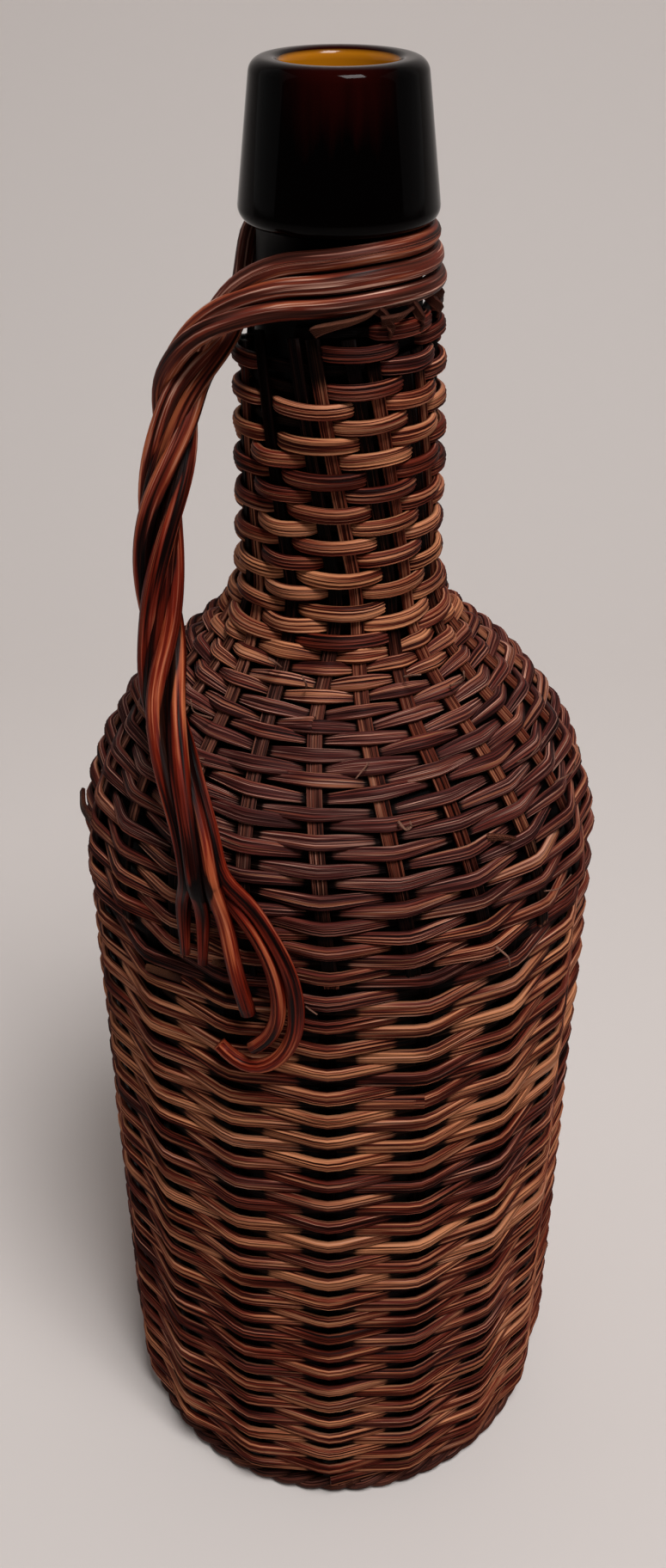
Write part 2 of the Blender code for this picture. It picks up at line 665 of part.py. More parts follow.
def main():
    """Clear the scene and build every piece."""
    for old in list(bpy.data.objects):
        bpy.data.objects.remove(old)
    collection = bpy.data.collections.new("wicker_demijohn")
    guides = bpy.data.collections.new("guides")
    bpy.context.scene.collection.children.link(collection)
    bpy.context.scene.collection.children.link(guides)
    make_bottle(collection)
    make_foot(collection)
    crossings = weave_crossings()
    make_stakes(crossings[0], collection, guides)
    make_strips(crossings[1], collection, guides)
    make_weavers(crossings, collection, guides)
    make_handle(collection)


main()
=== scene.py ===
"""A small wicker demijohn: dark amber glass in a woven cane jacket with a twisted handle.

The CAD frame gives each piece its place. Every cane is made again here as a ridged,
uneven, coloured cane in the place of its plain CAD node, and the glass as a smooth
turned shell. Units are metres, +Z is up, and azimuth 0 faces -Y and grows towards +X.
"""
import logging
import math
import random
from dataclasses import dataclass
from enum import Enum
from typing import Sequence

import bmesh
import bpy
from mathutils import Matrix, Vector, kdtree, noise


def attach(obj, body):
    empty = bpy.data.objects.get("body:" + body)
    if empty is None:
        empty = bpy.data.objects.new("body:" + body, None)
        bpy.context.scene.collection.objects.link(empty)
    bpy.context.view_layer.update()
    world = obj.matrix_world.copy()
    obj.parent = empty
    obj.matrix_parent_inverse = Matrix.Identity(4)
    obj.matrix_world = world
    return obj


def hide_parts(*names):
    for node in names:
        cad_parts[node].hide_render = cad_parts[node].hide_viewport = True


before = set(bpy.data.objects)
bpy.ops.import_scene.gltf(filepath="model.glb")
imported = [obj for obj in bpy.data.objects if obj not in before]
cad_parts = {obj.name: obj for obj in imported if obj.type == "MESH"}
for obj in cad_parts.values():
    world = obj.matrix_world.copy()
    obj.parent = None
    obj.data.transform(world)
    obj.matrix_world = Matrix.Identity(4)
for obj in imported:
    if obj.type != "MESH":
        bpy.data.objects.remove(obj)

LOG = logging.getLogger("wicker_demijohn")
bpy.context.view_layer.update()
BODY = "root"
TURN = 2 * math.pi
# Tilt that turns the outside of an upright cane away from the axis
FACE_OUT = -math.pi / 2
Triple = tuple[float, float, float]
Colour = Triple


def srgb(red: int, green: int, blue: int) -> Colour:
    """A colour written in screen values, as linear light."""
    parts = (value / 255 for value in (red, green, blue))
    return tuple(p / 12.92 if p <= 0.04045 else ((p + 0.055) / 1.055) ** 2.4 for p in parts)


def polar(azimuth: float, radius: float, height: float) -> Vector:
    """The point at an azimuth, a distance from the axis and a height."""
    return Vector((radius * math.sin(azimuth), -radius * math.cos(azimuth), height))


def smooth_step(value: float) -> float:
    """0 below 0, 1 above 1 and an S curve between."""
    value = min(1.0, max(0.0, value))
    return value * value * (3 - 2 * value)


def grown(value: float, start: float, run: float) -> float:
    """0 up to a start, 1 a run further on and an S curve between."""
    return smooth_step((value - start) / run)


def along_table(table: Sequence[tuple[float, float]], place: float) -> float:
    """The value of a table at a place, straight between its pairs.

    Args:
        table: Pairs of place and value, from the lowest place up.
        place: The place to read; beyond the ends the end values hold.

    Returns:
        The value there.
    """
    if place <= table[0][0]:
        return table[0][1]
    for (low, first), (high, second) in zip(table, table[1:]):
        if place <= high:
            return first + (second - first) * (place - low) / (high - low)
    return table[-1][1]


def wander(place: float, track: float, seed: float = 0.0) -> float:
    """A smooth uneven value between about -1 and 1."""
    return 2.0 * noise.noise(Vector((place, track * 1.7 + 0.3, seed * 3.1 + 0.7)))


class Slot(Enum):
    """The record's material slots."""

    GLASS = "bottle_glass"
    STAKE = "stake_cane"
    STRIP = "strip_cane"
    MIDDLE = "weaver_mid"
    LIGHT = "weaver_light"
    DARK = "weaver_dark"
    FOOT = "foot_cane"
    HANDLE = "handle_cane"


class Signal:
    """A shader socket that takes part in Python sums."""

    def __init__(self, recipe: "Recipe", socket: bpy.types.NodeSocket) -> None:
        """Keep an output socket and the recipe that it is part of."""
        self.recipe = recipe
        self.socket = socket

    def _sum(self, operation: str, first: object, second: object) -> "Signal":
        """Add one Math node."""
        return self.recipe.node("ShaderNodeMath", {"operation": operation},
                                {0: first, 1: second})

    def __add__(self, other: object) -> "Signal":
        """This plus another signal or a number."""
        return self._sum("ADD", self, other)

    __radd__ = __add__

    def __sub__(self, other: object) -> "Signal":
        """This less another signal or a number."""
        return self._sum("SUBTRACT", self, other)

    def __mul__(self, other: object) -> "Signal":
        """This times another signal or a number."""
        return self._sum("MULTIPLY", self, other)

    __rmul__ = __mul__

    def between(self, low: object, high: object) -> "Signal":
        """0 where this is at low and 1 where it is at high, held there beyond."""
        return self.recipe.node("ShaderNodeMapRange", {"clamp": True},
                                {"Value": self, "From Min": low, "From Max": high})


class Recipe:
    """The node tree of one finish."""

    def __init__(self, name: str) -> None:
        """Start a material with an empty node tree."""
        self.material = bpy.data.materials.new(name)
        self.material.use_nodes = True
        self.tree = self.material.node_tree
        self.tree.nodes.clear()

    def node(self, kind: str, settings: dict | None = None, inputs: dict | None = None,
             output: int | str = 0) -> Signal:
        """Add a node.

        Args:
            kind: The node's type.
            settings: Its own settings, set first; "stops" fills a colour ramp.
            inputs: Values or signals of its sockets, by name or number.
            output: The socket to hand back.

        Returns:
            The output as a signal.
        """
        made = self.tree.nodes.new(kind)
        for key, value in (settings or {}).items():
            if key == "stops":
                ramp = made.color_ramp
                while len(ramp.elements) < len(value):
                    ramp.elements.new(1.0)
                for stop, (place, colour) in zip(ramp.elements, value):
                    stop.position = place
                    stop.color = (*colour, 1.0)
            else:
                setattr(made, key, value)
        for key, value in (inputs or {}).items():
            if isinstance(value, Signal):
                self.tree.links.new(value.socket, made.inputs[key])
            elif isinstance(value, tuple) and len(value) == 3 and len(
                    made.inputs[key].default_value) == 4:
                made.inputs[key].default_value = (*value, 1.0)
            else:
                made.inputs[key].default_value = value
        return Signal(self, made.outputs[output])

    def mark(self, name: str, output: str = "Fac") -> Signal:
        """A value that the mesh carries at each of its points."""
        return self.node("ShaderNodeAttribute", {"attribute_name": name}, output=output)

    def mix(self, factor: object, first: object, second: object) -> Signal:
        """Mix two colours by a factor."""
        return self.node("ShaderNodeMix", {"data_type": "RGBA"},
                         {0: factor, 6: first, 7: second}, 2)

    def stretched(self, vector: Signal, scale: Triple) -> Signal:
        """A vector with each part scaled by its own number."""
        return self.node("ShaderNodeVectorMath", {"operation": "MULTIPLY"},
                         {0: vector, 1: scale})

    def mottle(self, vector: Signal, scale: Triple, detail: float = 2.0) -> Signal:
        """Noise between 0 and 1 with its own scale along each axis."""
        return self.node("ShaderNodeTexNoise", {},
                         {"Vector": self.stretched(vector, scale), "Scale": 1.0,
                          "Detail": detail})

    def bump(self, height: Signal, strength: float, depth: float) -> Signal:
        """Shading relief of a depth in metres."""
        return self.node("ShaderNodeBump", {},
                         {"Strength": strength, "Distance": depth, "Height": height})

    def finish(self, shader: Signal) -> bpy.types.Material:
        """Join the shader to the material's output.

        Args:
            shader: The finished shader.

        Returns:
            The material.
        """
        made = self.tree.nodes.new("ShaderNodeOutputMaterial")
        self.tree.links.new(shader.socket, made.inputs["Surface"])
        return self.material


@dataclass(frozen=True)
class Finish:
    """A named surface whose material is made once."""

    name: str

    def material(self) -> bpy.types.Material:
        """The finish's material."""
        return bpy.data.materials.get(self.name) or self._make()

    def _make(self) -> bpy.types.Material:
        """Build the node tree; each kind of finish has its own."""
        raise NotImplementedError


@dataclass(frozen=True)
class CaneFinish(Finish):
    """Weathered cane: lengthwise fibres, streaks and cracks, with painted shade where it dips
    inwards and dark lines with painted shade in its grooves and along its edges.

    The grain scales run along the cane, around it and from cane to cane.
    """

    dark: Colour
    middle: Colour
    light: Colour
    faded: Colour = srgb(92, 62, 62)
    # Pale colour of the scuffs, which are partly worn cane and partly painted sheen
    scuff_and_sheen: Colour = srgb(188, 138, 120)
    # Near-black of the cracks and of the painted shade, and how much of it the hidden dips, the
    # grooves and edges (dark lines and painted shade), the shadow and the cracks take
    crack_and_shade: Colour = srgb(14, 5, 3)
    hidden_shade_share: float = 0.95
    groove_lines_and_shade_share: float = 0.75
    shadow_share: float = 0.35
    crack_share: float = 0.9
    faded_share: float = 0.6
    streak: float = 0.62
    faded_streak: float = 0.60
    fibre: float = 0.34
    blotch: float = 0.22
    roughness: float = 0.50
    roughness_spread: float = 0.20
    shine: float = 0.20
    fibre_grain: Triple = (60.0, 4600.0, 9.0)
    streak_grain: Triple = (34.0, 1900.0, 5.0)
    blotch_grain: Triple = (95.0, 220.0, 3.0)
    fibre_contrast: tuple[float, float] = (0.30, 0.70)
    streak_contrast: tuple[float, float] = (0.34, 0.66)
    blotch_contrast: tuple[float, float] = (0.30, 0.70)
    grain_pitch: float = 1.0
    # How much the scuffs and their painted sheen show, and how much more on faded cane
    scuff_and_sheen_share: float = 0.24
    faded_scuff_and_sheen: float = 0.80
    fibre_depth: float = 0.00022
    relief_strength: float = 0.75
    # Shares of the streaks and the fibres in the relief and in the cracks
    relief_mix: tuple[float, float] = (0.6, 0.4)
    crack_mix: tuple[float, float] = (0.65, 0.35)
    # Between which values each of these fades in
    crack_range: tuple[float, float] = (0.42, 0.12)
    crack_fade: float = 0.10
    scuff_and_sheen_fibres: tuple[float, float] = (0.60, 1.0)
    scuff_and_sheen_streaks: tuple[float, float] = (0.25, 0.75)
    # Depths between which the painted shade of the shadow and of the hidden dips fades in, and
    # how much the fibres fray its edge
    shadow_range: tuple[float, float] = (0.90, 0.50)
    hidden_range: tuple[float, float] = (0.60, 0.42)
    hidden_fray: float = 0.20

    def _lengthwise(self, recipe: Recipe, grain: Triple) -> Signal:
        """Noise drawn out along the cane, finer with the grain's pitch."""
        along, around, apart = grain
        return recipe.mottle(recipe.mark("grain", "Vector"),
                             (along, around / self.grain_pitch, apart))

    def _make(self) -> bpy.types.Material:
        """Build the node tree.

        Returns:
            The material: a colour ramp by tone, then fading, scuffs, cracks and grime.
        """
        recipe = Recipe(self.name)
        tone, fade, depth, groove = (recipe.mark(name)
                                     for name in ("tone", "fade", "depth", "groove"))
        fibres = self._lengthwise(recipe, self.fibre_grain).between(*self.fibre_contrast)
        streaks = self._lengthwise(recipe, self.streak_grain).between(*self.streak_contrast)
        blotches = recipe.mottle(recipe.mark("grain", "Vector"), self.blotch_grain,
                                 3.0).between(*self.blotch_contrast)
        shade = (tone + (streaks - 0.5) * (fade * self.faded_streak + self.streak)
                 + (fibres - 0.5) * self.fibre + (blotches - 0.5) * self.blotch)
        ramp = recipe.node("ShaderNodeValToRGB",
                           {"stops": ((0.0, self.dark), (0.5, self.middle), (1.0, self.light))},
                           {0: shade})
        colour = recipe.mix(fade, ramp, recipe.mix(self.faded_share, ramp, self.faded))
        # Pale scuffs: partly worn cane and partly painted sheen, more of them where the cane is
        # faded
        scuff_and_sheen_mask = fibres.between(*self.scuff_and_sheen_fibres) * streaks.between(*self.scuff_and_sheen_streaks)
        colour = recipe.mix(scuff_and_sheen_mask * (fade * self.faded_scuff_and_sheen + self.scuff_and_sheen_share), colour,
                            self.scuff_and_sheen)
        # The cracks are the cane's own dark lines; the grooves and edges get dark lines and
        # painted shade, and the shadow and the hidden dips, where the depth is low, get painted
        # shade
        cracks = (streaks * self.crack_mix[0] + fibres * self.crack_mix[1]).between(
            fade * self.crack_fade + self.crack_range[0], self.crack_range[1])
        shadow = depth.between(*self.shadow_range)
        hidden = (depth + (fibres - 0.5) * self.hidden_fray).between(*self.hidden_range)
        for place, share in ((cracks, self.crack_share), (groove, self.groove_lines_and_shade_share),
                             (shadow, self.shadow_share), (hidden, self.hidden_shade_share)):
            colour = recipe.mix(place * share, colour, self.crack_and_shade)
        relief = recipe.bump(streaks * self.relief_mix[0] + fibres * self.relief_mix[1],
                             self.relief_strength, self.fibre_depth)
        return recipe.finish(recipe.node("ShaderNodeBsdfPrincipled", {}, {
            "Base Color": colour, "Normal": relief, "Specular IOR Level": self.shine,
            "Roughness": (fibres - 0.5) * self.roughness_spread + self.roughness}))


@dataclass(frozen=True)
class GlassFinish(Finish):
    """Nearly black amber glass, with a painted red glow under the rim and painted amber light
    inside the mouth, both standing in for light that comes through the glass.
    """

    name: str = "dark_amber_glass"
    body: Colour = (0.0004, 0.0001, 0.0001)
    painted_glow: Colour = (0.012, 0.0008, 0.0005)
    # Painted amber light inside the mouth, where light comes through the glass
    bore: Colour = (0.36, 0.125, 0.0030)
    painted_glow_low: float = 0.2930
    painted_glow_high: float = 0.3035
    painted_glow_reach: float = 0.0090
    run_length: float = 0.016
    bore_low: float = 0.2840
    bore_high: float = 0.2960
    bore_radius: float = 0.0092
    bore_edge: float = 0.0005
    bore_roughness: float = 0.16
    bore_shine: float = 0.2
    lip_foot: float = 0.2812
    lip_edge: float = 0.001
    lip_roughness: float = 0.06
    neck_roughness: float = 0.45
    shine: float = 0.045
    refraction: float = 1.5
    ripple_scale: Triple = (60.0, 60.0, 25.0)
    ripple_strength: float = 0.12
    ripple_depth: float = 0.0006
    run_scale: Triple = (420.0, 420.0, 30.0)

    def _make(self) -> bpy.types.Material:
        """Build the node tree.

        Returns:
            The material: the dark shell with its painted glow, and painted amber light inside
                the mouth.
        """
        recipe = Recipe(self.name)
        place = recipe.node("ShaderNodeTexCoord", output="Object")
        sideways = recipe.node("ShaderNodeSeparateXYZ", {}, {0: place})
        height = recipe.node("ShaderNodeSeparateXYZ", {}, {0: place}, 2)
        radius = recipe.node("ShaderNodeVectorMath", {"operation": "LENGTH"},
                             {0: recipe.stretched(place, (1.0, 1.0, 0.0))}, "Value")
        ripple = recipe.bump(recipe.mottle(place, self.ripple_scale, 3.0),
                             self.ripple_strength, self.ripple_depth)
        runs = recipe.mottle(place, self.run_scale)
        # A painted red glow under the front of the rim, in streaky runs, for light coming
        # through the glass
        painted_glow_mask = (height + (runs - 0.5) * self.run_length).between(self.painted_glow_low,
                                                                   self.painted_glow_high)
        painted_glow_mask = painted_glow_mask * (sideways * sideways).between(self.painted_glow_reach ** 2, 0.0)
        below_lip = height.between(self.lip_foot, self.lip_foot - self.lip_edge)
        shell = recipe.node("ShaderNodeBsdfPrincipled", {}, {
            "Base Color": recipe.mix(painted_glow_mask, self.body, self.painted_glow),
            "Roughness": below_lip * self.neck_roughness + self.lip_roughness,
            "IOR": self.refraction, "Specular IOR Level": self.shine, "Normal": ripple})
        lit = recipe.node("ShaderNodeBsdfPrincipled", {}, {
            "Base Color": self.bore, "Roughness": self.bore_roughness,
            "IOR": self.refraction, "Specular IOR Level": self.bore_shine,
            "Normal": ripple})
        # Inside the mouth the shell takes the painted amber light
        inside = (radius.between(self.bore_radius + self.bore_edge, self.bore_radius)
                  * height.between(self.bore_low, self.bore_high))
        return recipe.finish(recipe.node("ShaderNodeMixShader", {},
                                         {0: inside, 1: shell, 2: lit}))


@dataclass(frozen=True)
class FloorFinish(Finish):
    """A plain pale ground."""

    name: str = "pale_ground"
    colour: Colour = srgb(210, 202, 198)
    roughness: float = 0.9

    def _make(self) -> bpy.types.Material:
        """Build the node tree.

        Returns:
            The material.
        """
        recipe = Recipe(self.name)
        return recipe.finish(recipe.node(
            "ShaderNodeBsdfPrincipled", {},
            {"Base Color": self.colour, "Roughness": self.roughness}))


BODY_CANE = CaneFinish("wound_cane", srgb(32, 6, 4), srgb(112, 41, 26), srgb(220, 144, 100),
                       faded=srgb(94, 47, 44), scuff_and_sheen=srgb(222, 170, 150),
                       crack_and_shade=srgb(3, 1, 1), streak=0.72, shine=0.04)
STRIP_CANE = CaneFinish("flat_strip_cane", srgb(30, 7, 4), srgb(102, 43, 28),
                        srgb(182, 116, 84), faded=srgb(98, 60, 52), crack_and_shade=srgb(3, 1, 1),
                        shine=0.03)
STAKE_CANE = CaneFinish("dark_stake_cane", srgb(14, 4, 3), srgb(56, 22, 14),
                        srgb(116, 62, 42), crack_and_shade=srgb(3, 1, 1), shine=0.02)
FOOT_CANE = CaneFinish("border_cane", srgb(22, 8, 6), srgb(84, 40, 28), srgb(140, 84, 58),
                       crack_and_shade=srgb(4, 2, 1), shine=0.03)
HANDLE_CANE = CaneFinish("rope_cane", srgb(34, 5, 2), srgb(108, 27, 12), srgb(190, 100, 61),
                         faded=srgb(88, 44, 33), scuff_and_sheen=srgb(230, 184, 162),
                         crack_and_shade=srgb(4, 1, 1), hidden_shade_share=0.94, groove_lines_and_shade_share=0.22,
                         streak=0.70, roughness=0.45, shine=0.06, grain_pitch=1.9,
                         scuff_and_sheen_share=0.08)
FIBRE_CANE = CaneFinish("loose_fibre_cane", srgb(84, 46, 36), srgb(146, 92, 72),
                        srgb(186, 136, 112), hidden_shade_share=0.2, shine=0.05)
BOTTLE_GLASS = GlassFinish()


@dataclass
class Station:
    """One place along a cane: where it is and how it looks there.

    Tilt turns the section, girth scales it, and a depth of 0 is hidden in the weave; a low depth
    paints shade into the cane's colour.
    """

    place: Vector
    tilt: float = 0.0
    girth: float = 1.0
    tone: float = 0.5
    fade: float = 0.0
    depth: float = 1.0


class Twist(Enum):
    """How a sweep turns its section along the path."""

    UPRIGHT = "Z_UP"
    LEAST = "MINIMUM"


@dataclass(frozen=True)
class CaneSection:
    """A cane's section: points as (share of the width, share of the thickness)."""

    width: float
    thickness: float
    shares: tuple[tuple[float, float], ...]
    grooves: tuple[float, ...] = ()

    def outline(self) -> list[tuple[float, float]]:
        """The section's points in metres, with its outside towards x."""
        return [(out * self.thickness, across * self.width / 2)
                for across, out in self.shares]


HALF_ROUND_SHARES = (
    (0.86, 0.0), (1.0, 0.22), (0.93, 0.60), (0.72, 0.88), (0.50, 0.72), (0.27, 1.0),
    (0.0, 0.80), (-0.27, 0.98), (-0.50, 0.72), (-0.72, 0.88), (-0.93, 0.60), (-1.0, 0.22),
    (-0.86, 0.0),
)
HALF_ROUND_GROOVES = (1.0, 0.8, 0.3, 0.0, 0.7, 0.0, 0.7, 0.0, 0.7, 0.0, 0.3, 0.8, 1.0)
FLAT_SHARES = (
    (0.92, 0.0), (1.0, 0.45), (0.93, 0.86), (0.76, 1.0), (0.60, 0.80), (0.44, 1.0),
    (0.27, 0.82), (0.10, 1.0), (-0.08, 0.80), (-0.26, 1.0), (-0.44, 0.80), (-0.62, 1.0),
    (-0.80, 0.88), (-0.94, 0.84), (-1.0, 0.45), (-0.92, 0.0),
)
FLAT_GROOVES = (1.0, 0.6, 0.2, 0.0, 0.8, 0.0, 0.8, 0.0, 0.8, 0.0, 0.8, 0.0, 0.1, 0.3, 0.6,
                1.0)


def add_object(name: str, data: bpy.types.ID) -> bpy.types.Object:
    """Put an object in the scene.

    Args:
        name: Its name.
        data: Its mesh, curve, lamp or camera.

    Returns:
        The object.
    """
    made = bpy.data.objects.new(name, data)
    bpy.context.scene.collection.objects.link(made)
    return made


def smooth_mesh(shape: bmesh.types.BMesh, name: str) -> bpy.types.Mesh:
    """Turn a finished shape into a mesh with smooth shading, and free it.

    Args:
        shape: The shape.
        name: The mesh's name.

    Returns:
        The mesh.
    """
    for face in shape.faces:
        face.smooth = True
    mesh = bpy.data.meshes.new(name)
    shape.to_mesh(mesh)
    shape.free()
    return mesh


def lobed_shares(points: int, lobes: int, groove: float) -> tuple[tuple[float, float], ...]:
    """A whole cane's round section with shallow lengthwise grooves.

    Args:
        points: How many points it has.
        lobes: How many ridges go round it.
        groove: How deep the grooves are, as a share of the radius.

    Returns:
        The section's shares, clockwise.
    """
    shares = []
    for index in range(points):
        turn = -TURN * index / points
        reach = 1.0 - groove * (0.5 - 0.5 * math.cos(lobes * turn))
        shares.append((reach * math.sin(turn), reach * math.cos(turn)))
    return tuple(shares)


def cane_mesh(name: str, runs: Sequence[Sequence[Station]], section: CaneSection,
              twist: Twist) -> bpy.types.Mesh:
    """Sweep a section along runs of stations as one mesh.

    Args:
        name: The mesh's name.
        runs: One list of stations for each cane in the mesh.
        section: The section to sweep.
        twist: How the section turns along the path.

    Returns:
        The closed mesh, with the attributes that the cane finishes read.
    """
    outline = section.outline()
    guide = bpy.data.curves.new("section", "CURVE")
    ring = guide.splines.new("POLY")
    ring.points.add(len(outline) - 1)
    for point, corner in zip(ring.points, outline):
        point.co = (*corner, 0.0, 1.0)
    ring.use_cyclic_u = True
    profile = add_object("section", guide)
    path = bpy.data.curves.new(name, "CURVE")
    path.dimensions = "3D"
    path.twist_mode = twist.value
    path.bevel_mode = "OBJECT"
    path.bevel_object = profile
    for run in runs:
        spline = path.splines.new("POLY")
        spline.points.add(len(run) - 1)
        for point, station in zip(spline.points, run):
            point.co = (*station.place, 1.0)
            point.tilt = station.tilt
            point.radius = station.girth
    sweep = add_object(name, path)
    depsgraph = bpy.context.evaluated_depsgraph_get()
    mesh = bpy.data.meshes.new_from_object(sweep.evaluated_get(depsgraph))
    for helper, data in ((sweep, path), (profile, guide)):
        bpy.data.objects.remove(helper)
        bpy.data.curves.remove(data)
    mesh.name = name
    close_ends(mesh)
    mark_stations(mesh, runs, section, name)
    return mesh


def close_ends(mesh: bpy.types.Mesh) -> None:
    """Shade the sides of a mesh of tubes smooth and close its open ends.

    Args:
        mesh: The mesh, changed in place.
    """
    shape = bmesh.new()
    shape.from_mesh(mesh)
    for face in shape.faces:
        face.smooth = True
    rims = [edge for edge in shape.edges if edge.is_boundary]
    bmesh.ops.holes_fill(shape, edges=rims, sides=0)
    shape.to_mesh(mesh)
    shape.free()


def mark_stations(mesh: bpy.types.Mesh, runs: Sequence[Sequence[Station]],
                  section: CaneSection, name: str) -> None:
    """Write each station's tone, fade, depth, grooves and grain to its ring of vertices.

    Args:
        mesh: The swept mesh, with one ring of vertices for each station.
        runs: The lists of stations that it was swept along.
        section: The section that was swept.
        name: The piece's name, which also seeds where its grain starts.
    """
    outline = section.outline()
    grooves = section.grooves or (0.0,) * len(outline)
    round_trip = [0.0]
    for first, second in zip(outline, outline[1:]):
        round_trip.append(round_trip[-1] + math.dist(first, second))
    seed = random.Random(name)
    grain, tone, fade, depth, groove = [], [], [], [], []
    for run in runs:
        walked, offset = seed.random(), seed.random() * 40
        for index, station in enumerate(run):
            if index:
                walked += (station.place - run[index - 1].place).length
            for around in round_trip:
                grain += (walked, around + offset, offset)
            tone += [station.tone] * len(outline)
            fade += [station.fade] * len(outline)
            depth += [station.depth] * len(outline)
            groove += grooves
    if len(tone) != len(mesh.vertices):
        raise ValueError(f"{name}: {len(mesh.vertices)} vertices for {len(tone)} marks")
    mesh.attributes.new("grain", "FLOAT_VECTOR", "POINT").data.foreach_set("vector", grain)
    for label, values in (("tone", tone), ("fade", fade), ("depth", depth),
                          ("groove", groove)):
        mesh.attributes.new(label, "FLOAT", "POINT").data.foreach_set("value", values)


def place_piece(name: str, mesh: bpy.types.Mesh, finish: Finish, slot: Slot,
                *nodes: str) -> bpy.types.Object:
    """Put a finished mesh in the scene, riding on the bottle.

    Args:
        name: The piece's name.
        mesh: Its mesh, in place.
        finish: Its finish.
        slot: The record's slot that the finish stands for; not used.
        nodes: The CAD nodes that the piece takes the place of.

    Returns:
        The piece.
    """
    piece = add_object(name, mesh)
    mesh.materials.clear()
    mesh.materials.append(finish.material())
    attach(piece, BODY)
    if nodes:
        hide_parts(*nodes)
    LOG.info("%s: %d faces", name, len(mesh.polygons))
    return piece


@dataclass(frozen=True)
class Crossing:
    """A place where the weave passes an upright, outside it or inside it.

    A group of 0 or more is a bundle of strips on the neck.
    """

    along: float
    azimuth: float
    over: bool
    upright: int
    group: int = -1


@dataclass
class JacketShape:
    """The bottle's outside as a path: straight side, shoulder, cone, throat, neck.

    Distances along it start at the foot of the weave and run up the middle of the weave.
    """

    body_radius: float = 0.0483
    shoulder_start: float = 0.1605
    shoulder_radius: float = 0.0480
    shoulder_slope: float = math.radians(46.0)
    throat_radius: float = 0.0240
    neck_radius: float = 0.0154
    neck_slope: float = math.radians(1.6)
    weave_foot: float = 0.0067
    heel_tuck: float = 0.0013
    heel_run: float = 0.0085
    weave_top: float = 0.2602
    middle_lift: float = 0.0022
    search_reach: float = 0.3
    search_rounds: int = 50

    def __post_init__(self) -> None:
        """Work out where each stretch of the path starts and ends."""
        cos_a, sin_a = math.cos(self.shoulder_slope), math.sin(self.shoulder_slope)
        cos_n, sin_n = math.cos(self.neck_slope), math.sin(self.neck_slope)
        self.shoulder_centre = (self.body_radius - self.shoulder_radius, self.shoulder_start)
        self.cone_start = (self.shoulder_centre[0] + self.shoulder_radius * cos_a,
                           self.shoulder_centre[1] + self.shoulder_radius * sin_a)
        centre_radius = self.neck_radius + self.throat_radius * cos_n
        cone_end_radius = centre_radius - self.throat_radius * cos_a
        cone_length = (self.cone_start[0] - cone_end_radius) / sin_a
        self.cone_end = (cone_end_radius, self.cone_start[1] + cone_length * cos_a)
        self.throat_centre = (centre_radius, self.cone_end[1] + self.throat_radius * sin_a)
        self.neck_start = (centre_radius - self.throat_radius * cos_n,
                           self.throat_centre[1] - self.throat_radius * sin_n)
        self.side_end = self.shoulder_start - self.weave_foot
        self.shoulder_end = self.side_end + (self.shoulder_radius
                                             + self.middle_lift) * self.shoulder_slope
        self.cone_finish = self.shoulder_end + cone_length
        turn = self.shoulder_slope - self.neck_slope
        self.throat_end = self.cone_finish + (self.throat_radius - self.middle_lift) * turn
        self.weave_end = self.throat_end + (self.weave_top - self.neck_start[1]) / cos_n

    def point(self, along: float, lift: float) -> tuple[float, float, float]:
        """A point of the jacket, lifted off the glass.

        Args:
            along: Distance along the path.
            lift: Distance from the glass.

        Returns:
            Radius, height and slope, which is 0 on the straight side.
        """
        if along <= self.side_end:
            tuck = self.heel_tuck * max(0.0, 1.0 - along / self.heel_run) ** 2
            return self.body_radius + lift - tuck, self.weave_foot + along, 0.0
        if along <= self.shoulder_end:
            slope = (along - self.side_end) / (self.shoulder_radius + self.middle_lift)
            base, reach = self.shoulder_centre, self.shoulder_radius + lift
            return base[0] + reach * math.cos(slope), base[1] + reach * math.sin(slope), slope
        if along <= self.cone_finish:
            slope, base, rest = self.shoulder_slope, self.cone_start, along - self.shoulder_end
        elif along <= self.throat_end:
            slope = self.shoulder_slope - (along - self.cone_finish) / (self.throat_radius
                                                                        - self.middle_lift)
            base, reach = self.throat_centre, self.throat_radius - lift
            return base[0] - reach * math.cos(slope), base[1] - reach * math.sin(slope), slope
        else:
            slope, base, rest = self.neck_slope, self.neck_start, along - self.throat_end
        radius = base[0] - rest * math.sin(slope) + lift * math.cos(slope)
        height = base[1] + rest * math.cos(slope) + lift * math.sin(slope)
        return radius, height, slope

    def at_height(self, height: float, lift: float) -> tuple[float, float, float]:
        """The lifted outside at a height.

        Args:
            height: Height above the ground.
            lift: Distance from the glass.

        Returns:
            Distance along the path, radius and slope.
        """
        low, high = 0.0, self.weave_end + self.search_reach
        for _ in range(self.search_rounds):
            middle = (low + high) / 2
            if self.point(middle, lift)[1] < height:
                low = middle
            else:
                high = middle
        radius, _, slope = self.point(low, lift)
        return low, radius, slope


@dataclass(frozen=True)
class Lifts:
    """How far off the glass the backs of the canes lie.

    Weavers go under or over the uprights, and the handle's canes rest on the weave.
    """

    under: float = 0.00025
    upright: float = 0.00160
    over: float = 0.00270
    resting: float = 0.0042


LIFTS = Lifts()


@dataclass(frozen=True)
class DarkPatch:
    """A dark patch where the weave hardly shows: its crossings go under and take the painted
    shade of the dips, and the strips there take painted shade.
    """

    azimuth: float = math.radians(-38.0)
    height: float = 0.2590
    half_width: float = math.radians(21.0)
    half_height: float = 0.0125
    reach: float = 1.25
    softness: float = 0.5

    def strength(self, azimuth: float, height: float) -> float:
        """How much of the patch shows at a place.

        Args:
            azimuth: The place's azimuth.
            height: The place's height.

        Returns:
            1 in the middle of the patch and 0 outside it.
        """
        away = (azimuth - self.azimuth + math.pi) % TURN - math.pi
        out = math.hypot(away / self.half_width, (height - self.height) / self.half_height)
        return smooth_step((self.reach - out) / self.softness)


